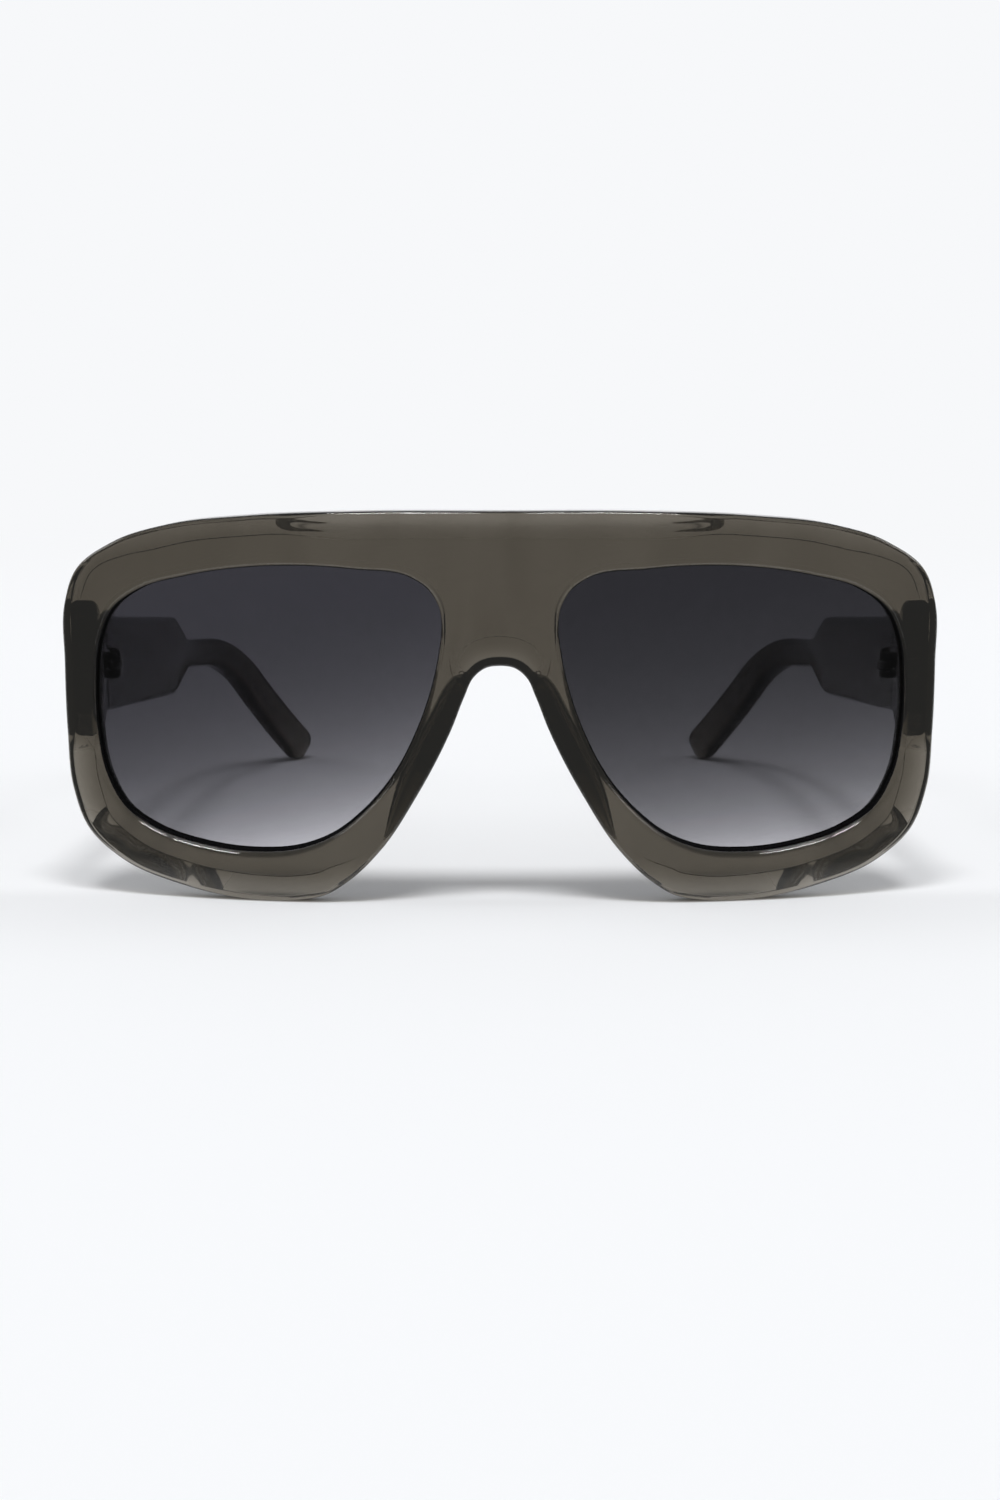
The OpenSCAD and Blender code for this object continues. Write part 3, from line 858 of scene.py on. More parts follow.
@dataclass
class FrontPlan:
    """Sizes and outlines of the front, flat and bent."""

    lens_w: float = 60.3
    lens_h: float = 48.6
    bridge_w: float = 19.5
    bridge_h: float = 25.8
    rim_top: float = 9.5
    rim_side: float = 5.3
    rim_bottom: float = 8.4
    thick: float = 5.5
    wrap_r: float = 265.0
    lens_recess: float = 1.6
    lens_t: float = 2.0
    lens_play: float = 0.05
    groove_depth: float = 0.6
    steps: int = 12
    depth: float = 146.463

    @property
    def nasal(self) -> float:
        """Across, the lens opening's side at the nose."""
        return self.bridge_w / 2

    @property
    def temporal(self) -> float:
        """Across, the lens opening's outer side."""
        return self.nasal + self.lens_w

    @property
    def eye_x(self) -> float:
        """Across, the lens opening's middle."""
        return self.nasal + self.lens_w / 2

    @property
    def eye_z(self) -> float:
        """Height of the lens opening's middle."""
        return self.rim_bottom + self.lens_h / 2

    @property
    def eye_top(self) -> float:
        """Height of the lens opening's top."""
        return self.rim_bottom + self.lens_h

    @property
    def half_w(self) -> float:
        """Half the front's width, flat."""
        return self.temporal + self.rim_side

    @property
    def height(self) -> float:
        """The front's height."""
        return self.eye_top + self.rim_top

    @property
    def arch_z(self) -> float:
        """Height of the bridge's underside."""
        return self.height - self.bridge_h

    @property
    def groove_end(self) -> float:
        """Distance behind the front face of the lens groove's back wall."""
        return self.lens_recess + self.lens_t + 2 * self.lens_play

    def outer_anchors(self) -> np.ndarray:
        """Outer outline of the left half, clockwise from the brow to the bridge's underside.

        Returns:
            The outline's anchors as across and up.
        """
        half, eye, nose, mid = self.half_w, self.eye_x, self.nasal, self.eye_z
        top, arch = self.height, self.arch_z
        return np.array(
            [
                (0, top),
                (eye - 17.6, top - 0.1),
                (eye + 2.4, top - 1),
                (eye + 16.4, top - 2.7),
                (half - 9.1, top - 5.9),
                (half - 2.3, top - 10.9),
                (half - 0.2, top - 16.7),
                (half, mid + 7.3),
                (half - 0.2, mid - 4.6),
                (half - 1, 18.4),
                (half - 3.7, 11.4),
                (half - 9.8, 6.2),
                (half - 20.5, 2.2),
                (eye + 2.1, 0.1),
                (eye - 4.9, 0.2),
                (eye - 10.3, 1.3),
                (nose + 16, 3.7),
                (nose + 10.5, 9.1),
                (nose + 4.3, 18.5),
                (nose - 1.8, arch - 10.3),
                (nose - 3.8, arch - 5.2),
                (nose - 5.4, arch - 1.9),
                (nose - 7.3, arch - 0.4),
                (0, arch),
            ]
        )

    def eye_anchors(self) -> np.ndarray:
        """Outline of the left lens opening, with one point beside each outer point.

        Returns:
            The outline's anchors as across and up.
        """
        nose, side, eye = self.nasal, self.temporal, self.eye_x
        top, low, mid = self.eye_top, self.rim_bottom, self.eye_z
        return np.array(
            [
                (nose + 5, top - 1.7),
                (nose + 14.6, top - 0.3),
                (eye + 0.9, top),
                (eye + 13.6, top - 1.8),
                (side - 8.3, top - 4.2),
                (side - 3.1, top - 8.1),
                (side - 1, top - 12.8),
                (side - 0.1, mid + 4.3),
                (side - 0.3, mid - 3.7),
                (side - 1.9, low + 12.3),
                (side - 5.1, low + 6.9),
                (side - 10.4, low + 3.5),
                (side - 19.1, low + 0.9),
                (eye + 1.4, low),
                (eye - 5.6, low + 0.7),
                (eye - 11.3, low + 2.9),
                (eye - 16.4, low + 6.8),
                (nose + 8.6, low + 12.8),
                (nose + 4.5, low + 20.4),
                (nose + 1.8, low + 27.9),
                (nose + 0.5, low + 33.7),
                (nose, low + 38),
                (nose + 0.4, top - 6.6),
                (nose + 2.2, top - 3.6),
            ]
        )

    def __post_init__(self) -> None:
        """Works out the smooth lines and the ways out of them."""
        eye = self.eye_anchors()
        ways = headings(np.roll(eye, 1, 0), eye, np.roll(eye, -1, 0))
        self.eye_line = smooth_spans(np.vstack([eye, eye[:1]]), np.vstack([ways, ways[:1]]), self.steps)
        self.eye_ways = left_of(np.roll(self.eye_line, -1, 0) - np.roll(self.eye_line, 1, 0))
        outer = self.outer_anchors()
        before = np.vstack([mirrored(outer[1:2]), outer[:-1]])
        after = np.vstack([outer[1:], mirrored(outer[-2:-1])])
        ways = headings(before, outer, after)
        self.edge_line = np.vstack([smooth_spans(outer, ways, self.steps), outer[-1:]])
        before = np.vstack([mirrored(self.edge_line[1:2]), self.edge_line[:-1]])
        after = np.vstack([self.edge_line[1:], mirrored(self.edge_line[-2:-1])])
        self.edge_ways = left_of(after - before)

    @property
    def around(self) -> int:
        """Points around a lens opening."""
        return len(self.eye_line)

    def bend(self, flat: np.ndarray, depth: Distance) -> np.ndarray:
        """Bends flat points.

        Args:
            flat: Points as across and up.
            depth: Distance behind the front face, one number or one for each point.

        Returns:
            The points in the row frame.
        """
        angle = flat[:, 0] / self.wrap_r
        reach = self.wrap_r - depth
        y = self.wrap_r - reach * np.cos(angle) - self.depth / 2
        return np.stack([reach * np.sin(angle), y, flat[:, 1]], axis=1)

    def eye_rail(self, out: Distance) -> np.ndarray:
        """The lens opening's line, moved out into the rim by one distance or one for each point."""
        return self.eye_line + self.eye_ways * np.reshape(out, (-1, 1))

    def edge_rail(self, inset: Distance) -> np.ndarray:
        """The outer line of the left half, drawn in by one distance or one for each point."""
        return self.edge_line - self.edge_ways * np.reshape(inset, (-1, 1))

    def closed_rail(self, inset: Distance) -> np.ndarray:
        """The outer line, closed along the middle of the bridge with the points that the lens line has more.

        Args:
            inset: Distance that it is drawn in, one number or one for each point.

        Returns:
            As many points as the lens line has.
        """
        edge = self.edge_rail(inset)
        more = self.around - len(edge)
        f = (np.arange(more) + 1)[:, None] / (more + 1)
        return np.vstack([edge, edge[-1:] * (1 - f) + edge[:1] * f])


@dataclass
class FrontParts:
    """The acetate front with its nose pads.

    A Span holds the two places between which a form sets in or ends, across or up. Those of the notch, the
    endpieces and the pads are counted from their own edges, and the others from the row's zero.
    """

    plan: FrontPlan
    material: bpy.types.Material
    # Near-black painted shade for the faces of the lens grooves.
    groove: bpy.types.Material
    front_edge_r: float = 0.8
    back_edge_r: float = 0.6
    glued_edge_r: float = 0.3
    arch_r: float = 4.6
    bevel_w: float = 3.6
    bevel_t: float = 1.91
    brow_bevel_w: float = 4.9
    brow_bevel_t: float = 1.75
    brow_level: float = 0.84
    low_bevel_t: float = 1.3
    corner_bevel_w: float = 3.3
    corner_bevel_t: float = 2.77
    top_bevel_w: float = 1.6
    top_slope: float = 0.33
    crease_w: float = 0.06
    crease_depth: float = 0.1
    least_bevel_w: float = 1.5
    bevel_shares: tuple[float, ...] = (0.03, 0.12, 0.22, 0.32, 0.42, 0.52, 0.62, 0.72, 0.82, 0.92, 1.0)
    notch_side: Span = (11.0, 14.0)
    notch_top: Span = (1.0, 2.0)
    beside_notch: Span = (11.0, 19.0)
    arch_side: Span = (4.5, 6.0)
    endpiece_side: Span = (-8.0, -5.0)
    endpiece_end: Span = (-1.0, 3.0)
    pad_end: Span = (0.0, 3.0)
    brow_end: Span = (25.0, 40.0)
    top_start: Span = (33.0, 41.0)
    top_narrowing: Span = (60.0, 74.0)
    low_end: Span = (10.0, 16.0)
    corner_start: Span = (44.0, 56.0)
    lip_r: float = 1.0
    lip_flatness: float = 1.15
    back_lip_r: float = 0.8
    arc_steps: int = 7
    face_rows: int = 7
    face_edge: float = 0.02
    face_inside: float = 0.1
    endpiece_h: float = 23.4
    hinge_z: float = 38.5
    pad_low: float = 9.5
    pad_high: float = 37.5
    pad_w: float = 3.6
    pad_top_more: float = 0.8
    pad_depth: float = 6.0
    pad_inset: float = 0.5
    pad_lean: float = 1.2
    pad_sunk: float = 0.05
    pad_rows: int = 40
    pad_sides: int = 25
    pad_start: float = 0.012
    pad_taper: float = 0.9
    pad_taper_loss: float = 0.7

    def __post_init__(self) -> None:
        """Works out the back edge's radius and the bevel along the outline."""
        plan, x, z = self.plan, self.plan.edge_line[:, 0], self.plan.edge_line[:, 1]
        notch = (1 - ease(*self.notch_side, x, plan.nasal)) * (1 - ease(*self.notch_top, z, plan.arch_z))
        endpiece = ease(*self.endpiece_side, x, plan.half_w)
        endpiece *= 1 - ease(*self.endpiece_end, abs(z - self.hinge_z), self.endpiece_h / 2)
        pad = notch * (1 - ease(*self.pad_end, z, self.pad_high))
        arch = notch * (1 - ease(*self.arch_side, x))
        share = 1 - np.maximum(endpiece, notch)
        share *= np.where(z < plan.arch_z, ease(*self.beside_notch, x, plan.nasal), 1.0)
        self.back_r = self.back_edge_r + (self.glued_edge_r - self.back_edge_r) * np.maximum(endpiece, pad)
        self.back_r += (self.arch_r - self.back_edge_r) * arch
        self.soft = np.where(z > plan.eye_z, 1 - ease(*self.brow_end, x), 0.0)
        top = np.where(z > plan.eye_z, ease(*self.top_start, x), 0.0)
        low = 1 - ease(*self.low_end, z)
        corner = low * ease(*self.corner_start, x)
        width = self.bevel_w + (self.brow_bevel_w - self.bevel_w) * self.soft
        width += (self.corner_bevel_w - self.bevel_w) * corner
        width += (self.top_bevel_w - self.bevel_w) * top * ease(*self.top_narrowing, x)
        self.bevel_in = self.least_bevel_w + (width - self.least_bevel_w) * share
        self.bevel_in += (self.arch_r - self.least_bevel_w) * arch
        gentler, steeper = self.low_bevel_t - self.bevel_t, self.corner_bevel_t - self.bevel_t
        deep = self.bevel_t + (self.brow_bevel_t - self.bevel_t) * self.soft
        deep += gentler * (low - corner) + steeper * corner
        deep += (self.top_slope * width - deep) * top
        self.drop = deep * share
        self.slant = np.arctan(self.drop * (1 - self.soft) / self.bevel_in)
        self.crease = self.crease_depth * share * (1 - self.soft)
        self.lip_out = self.lip_r * (1 + abs(plan.eye_ways[:, 1])) / 2

    def bevel_depth(self, inset: np.ndarray) -> np.ndarray:
        """Distance of the bevel behind the front face.

        Args:
            inset: Distance in from the edge, for each point of the outline.

        Returns:
            The distance for each point.
        """
        share = (self.bevel_in - inset) / self.bevel_in
        fallen = share * (1 - self.soft) + ease(0.0, self.brow_level, share) * self.soft
        return self.plan.thick - self.drop * fallen

    def face_rows_between(self, outer: np.ndarray, inner: np.ndarray, depth: float) -> list[np.ndarray]:
        """Rows across a face, close together beside its edges so that it shades flat.

        Args:
            outer: The face's outer line, as across and up.
            inner: Its inner line.
            depth: Distance behind the front face.

        Returns:
            The rows, from the outer line to the inner one.
        """
        middle = np.linspace(self.face_inside, 1 - self.face_inside, self.face_rows)
        shares = [0.0, self.face_edge, *middle, 1 - self.face_edge, 1.0]
        return [self.plan.bend(outer * (1 - f) + inner * f, depth) for f in shares]

    def front_lip(self) -> list[np.ndarray]:
        """Rows over the lens opening's front lip.

        Returns:
            The rows, from the wall to the face.
        """
        plan, rows = self.plan, []
        for a in np.linspace(math.pi / 2, 0, self.arc_steps + 1):
            out = self.lip_out * (1 - math.sin(a) ** self.lip_flatness)
            rows.append(plan.bend(plan.eye_rail(out), self.lip_r * (1 - math.cos(a) ** self.lip_flatness)))
        return rows

    def groove_rows(self) -> list[np.ndarray]:
        """Rows through the groove.

        Returns:
            The rows, from the front lip's wall to the back lip's.
        """
        plan = self.plan
        rails = [(0, self.lip_r), (0, plan.lens_recess), (plan.groove_depth, plan.lens_recess)]
        rails += [(plan.groove_depth, plan.groove_end), (0, plan.groove_end)]
        return [plan.bend(plan.eye_rail(out), depth) for out, depth in rails]

    def back_lip(self) -> list[np.ndarray]:
        """Rows over the lens opening's back lip.

        Returns:
            The rows, from the groove to the back.
        """
        plan = self.plan
        rows = [plan.bend(plan.eye_rail(0), plan.groove_end)]
        for a in np.linspace(math.pi / 2, 0, self.arc_steps + 1):
            rail = plan.eye_rail(self.back_lip_r * (1 - math.sin(a)))
            rows.append(plan.bend(rail, plan.thick - self.back_lip_r * (1 - math.cos(a))))
        return rows

    def edge_rows(self) -> list[np.ndarray]:
        """Rows over the outer edge: front edge, back edge, bevel and the fine crease where it meets the back.

        Returns:
            The rows, from the front face to the back.
        """
        plan, radius, rows = self.plan, self.front_edge_r, []
        for a in np.linspace(0, math.pi / 2, self.arc_steps + 1):
            rows.append(plan.bend(plan.edge_rail(radius * (1 - math.sin(a))), radius * (1 - math.cos(a))))
        last = self.back_r * (1 - np.sin(self.slant))
        centre = self.bevel_depth(last) - self.back_r * np.cos(self.slant)
        for f in np.linspace(0, 1, self.arc_steps + 1):
            a = math.pi / 2 - (math.pi / 2 - self.slant) * f
            rail = plan.edge_rail(self.back_r * (1 - np.sin(a)))
            rows.append(plan.bend(rail, centre + self.back_r * np.cos(a)))
        inner = self.bevel_in - self.crease_w
        for f in self.bevel_shares:
            inset = last + (inner - last) * f
            rows.append(plan.bend(plan.edge_rail(inset), self.bevel_depth(inset)))
        rows.append(plan.bend(plan.edge_rail(self.bevel_in), plan.thick - self.crease))
        rows.append(plan.bend(plan.edge_rail(self.bevel_in + self.crease_w), plan.thick))
        return rows

    def build_front(self) -> None:
        """Makes the front sheet with its lens grooves."""
        plan, shell = self.plan, Shell()
        outer = plan.closed_rail(self.front_edge_r)
        shell.add_grid(self.face_rows_between(outer, plan.eye_rail(self.lip_out), 0.0), closed=True)
        shell.add_grid(self.front_lip()[::-1], closed=True)
        # The groove's faces take the second material, the painted shade.
        shell.add_grid(self.groove_rows(), closed=True, tone=1)
        shell.add_grid(self.back_lip(), closed=True)
        outer = plan.closed_rail(self.bevel_in + self.crease_w)
        rows = self.face_rows_between(outer, plan.eye_rail(self.back_lip_r), plan.thick)
        shell.add_grid(rows[::-1], closed=True)
        shell.add_grid(self.edge_rows(), closed=False)
        shell.mirror_in()
        materials = [self.material, self.groove]
        dress(shell.build("front_acetate"), materials, Body.FRONT.value, "front_frame")

    def notch(self, z: float) -> tuple[np.ndarray, np.ndarray]:
        """The notch's edge at a height.

        Args:
            z: The height.

        Returns:
            The point there, as across and up, and the way out of the front.
        """
        line = self.plan.edge_line[len(self.plan.edge_line) // 2 :]
        below, here, above = np.interp([z - 1, z, z + 1], line[:, 1], line[:, 0])
        return np.array([here, z]), left_of(np.array([[above - below, 2.0]]))[0]

    def build_pad(self, side: Side) -> None:
        """Makes one nose pad: half ovals along the notch, on the back of the front.

        Args:
            side: The wearer's side.
        """
        turns = np.linspace(0, math.pi, self.pad_sides)
        steps = np.linspace(self.pad_start, 1 - self.pad_start, self.pad_rows)
        rings = []
        for f in (1 - np.cos(steps * math.pi)) / 2:
            swell = math.sin(math.pi * f) ** (self.pad_taper - self.pad_taper_loss * f)
            width = (self.pad_w + self.pad_top_more * f) * swell
            point, way = self.notch(self.pad_low + (self.pad_high - self.pad_low) * f)
            rise = self.pad_depth * swell * np.sin(turns)
            out = self.pad_inset + width / 2 * (1 + np.cos(turns)) + self.pad_lean * rise / self.pad_depth
            ring = self.plan.bend(point - way * out[:, None], self.plan.thick - self.pad_sunk + rise)
            rings.append(mirrored(ring) if side is Side.RIGHT else ring)
        shell = Shell()
        shell.add_tube(rings)
        piece = shell.build(f"nose_pad_{side.word}_acetate", PAD_SHARP_ANGLE)
        dress(piece, [self.material], Body.FRONT.value, f"nose_pad_{side.word}")


@dataclass
class HingePlan:
    """Where a hinge turns, and sizes that its pieces share."""

    plan: FrontPlan
    hinge_z: float = 38.5
    lean: float = 5.0
    temple_t: float = 4.8
    axis_offset: float = 1.45
    endpiece_len: float = 3.4
    butt_gap: float = 0.1
    leaf_t: float = 0.9
    knuckle_r: float = 1.3
    knuckle_len: float = 1.5
    knuckle_gap: float = 0.06

    def __post_init__(self) -> None:
        """Finds the pivot behind the corner of the front's edge."""
        corner = self.plan.bend(np.array([[self.plan.half_w, 0.0]]), self.plan.thick)[0, :2]
        a = math.radians(self.lean)
        x, y = self.temple_t + self.axis_offset, -self.endpiece_len
        self.pivot = corner - np.array([x * math.cos(a) - y * math.sin(a), x * math.sin(a) + y * math.cos(a)])

    def place(self, points: np.ndarray, side: Side) -> np.ndarray:
        """Puts points from the hinge's own frame into the row frame.

        Args:
            points: The points, outwards, along and up, with the pivot as their middle.
            side: The wearer's side.

        Returns:
            The points in the row frame.
        """
        a = math.radians(self.lean)
        x = self.pivot[0] + points[:, 0] * math.cos(a) - points[:, 1] * math.sin(a)
        y = self.pivot[1] + points[:, 0] * math.sin(a) + points[:, 1] * math.cos(a)
        placed = np.stack([x, y, points[:, 2]], axis=1)
        return mirrored(placed) if side is Side.RIGHT else placed

    def build_tube(self, rings: list[np.ndarray], side: Side, name: str) -> bpy.types.Object:
        """Makes a closed tube.

        Args:
            rings: The rings of points that it runs through, in the hinge's frame.
            side: The wearer's side.
            name: The piece's name.

        Returns:
            The piece's object.
        """
        shell = Shell()
        shell.add_tube([self.place(ring, side) for ring in rings])
        return shell.build(name)


@dataclass
class Endpieces:
    """The blocks glued behind the front's sides, which carry the hinges."""

    hinge: HingePlan
    material: bpy.types.Material
    height: float = 23.4
    butt_h: float = 16.6
    edge_r: float = 1.4
    butt_edge_r: float = 0.3
    sunk: float = 0.05
    edge_steps: int = 3
    corner_steps: int = 8
    rows: int = 14

    def section(self, height: float, shrink: float = 0.0) -> np.ndarray:
        """Outline of the block at one place along it.

        Args:
            height: The block's height there.
            shrink: Distance that the outline is drawn in.

        Returns:
            The outline in the hinge's frame, as outwards and up.
        """
        thick = self.hinge.temple_t
        flat = rounded_box(thick - 2 * shrink, height - 2 * shrink, self.edge_r, self.corner_steps)
        return flat + np.array([self.hinge.axis_offset + thick / 2, self.hinge.hinge_z])

    def to_front(self, flat: np.ndarray) -> np.ndarray:
        """Where each point of an outline meets the back of the front.

        Args:
            flat: The outline in the hinge's frame, as outwards and up.

        Returns:
            Distance along the hinge's frame for each point.
        """
        plan, a = self.hinge.plan, math.radians(self.hinge.lean)
        reach = plan.wrap_r - plan.thick + self.sunk
        x, y = np.array([0.0, plan.wrap_r - plan.depth / 2]) - self.hinge.pivot
        out, along = x * math.cos(a) + y * math.sin(a), y * math.cos(a) - x * math.sin(a)
        return along - np.sqrt(reach**2 - (flat[:, 0] - out) ** 2)

    def build(self, side: Side) -> None:
        """Makes one endpiece, which grows from the temple's height to its own.

        Args:
            side: The wearer's side.
        """
        near, shoulder = -self.hinge.butt_gap / 2, -self.hinge.endpiece_len
        rings = []
        for k in range(self.edge_steps + 1):
            a = k * math.pi / (2 * self.edge_steps)
            flat = self.section(self.butt_h, self.butt_edge_r * (1 - math.sin(a)))
            rings.append(upright(flat, near - self.butt_edge_r * (1 - math.cos(a))))
        for k in range(1, self.rows + 1):
            y = near - self.butt_edge_r + (shoulder - near + self.butt_edge_r) * (k / self.rows)
            flat = self.section(self.butt_h + (self.height - self.butt_h) * (near - y) / (near - shoulder))
            rings.append(upright(flat, np.maximum(y, self.to_front(flat))))
        flat = self.section(self.height)
        rings.append(upright(flat, self.to_front(flat)))
        piece = self.hinge.build_tube(rings, side, f"endpiece_{side.word}_acetate")
        dress(piece, [self.material], Body.FRONT.value, f"endpiece_{side.word}")


@dataclass
class Lenses:
    """The two graded lenses in the front's grooves."""

    plan: FrontPlan
    # Near-black painted shade on each lens's edge bevel.
    bevel: bpy.types.Material
    rows: int = 18
    edge_soft: float = 0.12
    least_bevel: float = 0.1
    more_below: float = 0.35
    bevel_bands: int = 5

    def build(self, side: Side, material: bpy.types.Material) -> None:
        """Makes one lens, with a bevel in near-black painted shade that shows widest along the bottom.

        Args:
            side: The wearer's side.
            material: The lens's material.
        """
        plan = self.plan
        front = plan.lens_recess + plan.lens_play
        back = front + plan.lens_t
        middle = np.array([[plan.eye_x, plan.eye_z]])
        full = plan.eye_rail(plan.groove_depth - plan.lens_play)
        drawn = plan.eye_rail(plan.groove_depth - plan.lens_play - self.edge_soft)
        shown = self.least_bevel - self.more_below * np.minimum(plan.eye_ways[:, 1], 0)
        clear = plan.eye_rail(-shown)
        shares = np.linspace(1, 0, self.rows + 1)[:-1]
        rows = [plan.bend(middle + (clear - middle) * f, front) for f in shares[::-1]]
        rows += [plan.bend(drawn, front), plan.bend(full, front + self.edge_soft)]
        rows += [plan.bend(full, back - self.edge_soft), plan.bend(drawn, back)]
        rows += [plan.bend(middle + (clear - middle) * f, back) for f in shares]
        shell, first = Shell(), self.rows - 1
        # The bevel bands take the painted shade.
        shell.add_tube(rows, range(first, first + self.bevel_bands))
        if side is Side.RIGHT:
            shell.points = [mirrored(points) for points in shell.points]
        piece = shell.build(f"lens_{side.word}_tinted")
        dress(piece, [material, self.bevel], Body.FRONT.value, f"lens_{side.word}")


@dataclass
class Temples:
    """The two temples with their core wires."""

    hinge: HingePlan
    acetate: bpy.types.Material
    wire: bpy.types.Material
    butt_h: float = 16.6
    paddle_h: float = 15.2
    arm_h: float = 5.6
    ear_h: float = 7.0
    arm_t: float = 4.2
    ear_t: float = 4.0
    paddle_len: float = 61.0
    shoulder_len: float = 13.0
    bend_len: float = 92.5
    bend_r: float = 35.0
    bend_angle: float = 36.0
    curl_start: float = 75.0
    curl_r: float = 95.0
    tilt: float = 6.5
    edge_r: float = 1.4
    tip_len: float = 3.4
    tip_step: float = 6.0
    leaf_len: float = 9.0
    butt_r: float = 0.25
    butt_turns: tuple[float, ...] = (0.0, 0.5, 1.05)
    first_step: float = 3.5
    first_rings: tuple[float, ...] = (0.3, 1.0, 2.0, 3.0, 3.5)
    even_start: float = 5.0
    even_step: float = 1.0
    wire_r: float = 0.7
    wire_start: float = 1.5
    wire_stop: float = 12.0
    wire_play: float = 0.03
    wire_end: float = 0.6
    wire_end_slope: float = 2.0
    wire_sides: int = 20
    wire_rings: int = 150
    corner_steps: int = 7
    soften: float = 1.6
    soften_samples: int = 9

    def __post_init__(self) -> None:
        """Works out places along the temple, and the length of its ear end, whose tip touches the ground."""
        self.level, self.steep = math.radians(self.tilt), math.radians(self.tilt + self.bend_angle)
        self.bend_arc = self.bend_r * math.radians(self.bend_angle)
        self.arm_start = self.paddle_len + self.shoulder_len
        self.ear_start = self.bend_len + self.bend_arc
        tip_low = math.hypot(self.tip_len * math.sin(self.steep), self.ear_h / 2 * math.cos(self.steep))
        drop = self.bend_len * math.sin(self.level)
        drop += self.bend_r * (math.cos(self.level) - math.cos(self.steep))
        self.ear_len = (self.hinge.hinge_z - drop - tip_low) / math.sin(self.steep)
        self.length = self.ear_start + self.ear_len

    def slope(self, s: float) -> float:
        """Downward slope at a length along the temple, in radians."""
        return math.radians(self.tilt + self.bend_angle * min(1, max(0, (s - self.bend_len) / self.bend_arc)))

    def past_bend(self, s: float) -> float:
        """How much of a length along the temple lies past the bend."""
        return max(0.0, s - self.bend_len - self.bend_arc)

    def run(self, s: float) -> float:
        """Level distance covered at a length along the temple."""
        bend = self.bend_r * (math.sin(self.slope(s)) - math.sin(self.level))
        return min(s, self.bend_len) * math.cos(self.level) + bend + self.past_bend(s) * math.cos(self.steep)

    def drop(self, s: float) -> float:
        """Distance below the hinge at a length along the temple."""
        bend = self.bend_r * (math.cos(self.level) - math.cos(self.slope(s)))
        return min(s, self.bend_len) * math.sin(self.level) + bend + self.past_bend(s) * math.sin(self.steep)

    def curl(self, s: float) -> float:
        """Inward turn at a length along the temple, in radians."""
        return max(0.0, self.run(s) - self.curl_start) / self.curl_r

    def middle(self, s: float) -> np.ndarray:
        """Middle of the temple.

        Args:
            s: Length along the temple.

        Returns:
            The point in the hinge's frame.
        """
        curl, hinge = self.curl(s), self.hinge
        out = hinge.axis_offset + hinge.temple_t / 2 - self.curl_r * (1 - math.cos(curl))
        along = hinge.butt_gap / 2 + min(self.run(s), self.curl_start) + self.curl_r * math.sin(curl)
        return np.array([out, along, hinge.hinge_z - self.drop(s)])

    def frame(self, s: float, slope: float) -> tuple[np.ndarray, np.ndarray]:
        """Outward and upward directions across the temple.

        Args:
            s: Length along the temple.
            slope: Downward slope there, in radians.

        Returns:
            The two directions in the hinge's frame.
        """
        curl = self.curl(s)
        out = np.array([math.cos(curl), math.sin(curl), 0.0])
        up = np.array([-math.sin(slope) * math.sin(curl), math.sin(slope) * math.cos(curl), math.cos(slope)])
        return out, up

    def eased(self, s: float, places: list[float], values: list[float]) -> float:
        """A size that changes in straight steps along the temple, with softened corners.

        Args:
            s: Length along the temple.
            places: Lengths at which the size is known.
            values: The size at each of them.

        Returns:
            The size at s.
        """
        reach = min(self.soften, s)
        samples = s + np.linspace(-reach, reach, self.soften_samples)
        return float(np.mean(np.interp(samples, places, values)))

    def height(self, s: float) -> float:
        """Height across the temple at a length along it."""
        places = [0, self.paddle_len, self.arm_start, self.bend_len, self.ear_start]
        return self.eased(s, places, [self.butt_h, self.paddle_h, self.arm_h, self.arm_h, self.ear_h])

    def thickness(self, s: float) -> float:
        """Thickness across the temple at a length along it."""
        places = [self.leaf_len + self.shoulder_len, self.arm_start, self.ear_start]
        return self.eased(s, places, [self.hinge.temple_t, self.arm_t, self.ear_t])

    def ring(self, s: float, scale: float = 1.0, shrink: float = 0.0, along: float = 0.0) -> np.ndarray:
        """Outline across the temple.

        Args:
            s: Length along the temple.
            scale: Size of the outline against the full one.
            shrink: Distance that the outline is drawn in.
            along: Distance that it is pushed along past s.

        Returns:
            The outline's points in the hinge's frame.
        """
        slope = self.slope(s) * min(1.0, s / self.first_step)
        out, up = self.frame(s, slope)
        width, height = self.thickness(s) - 2 * shrink, self.height(s) - 2 * shrink
        flat = rounded_box(width, height, self.edge_r, self.corner_steps)
        ahead = np.cross(up, out)
        return self.middle(s) + (flat[:, :1] * out + flat[:, 1:] * up) * scale + ahead * along

    def build_temple(self, side: Side) -> None:
        """Makes one temple with its rounded tip.

        Args:
            side: The wearer's side.
        """
        rings = []
        for a in self.butt_turns:
            shrink, along = self.butt_r * (1 - math.sin(a)), self.butt_r * (1 - math.cos(a))
            rings.append(self.ring(0.0, shrink=shrink, along=along))
        rings += [self.ring(s) for s in self.first_rings]
        rings += [self.ring(s) for s in np.arange(self.even_start, self.length, self.even_step)]
        for turn in np.radians(np.arange(0, 90, self.tip_step)):
            rings.append(self.ring(self.length, scale=math.cos(turn), along=self.tip_len * math.sin(turn)))
        piece = self.hinge.build_tube(rings, side, f"temple_{side.word}_acetate")
        dress(piece, [self.acetate], side.temple_body, f"temple_{side.word}")

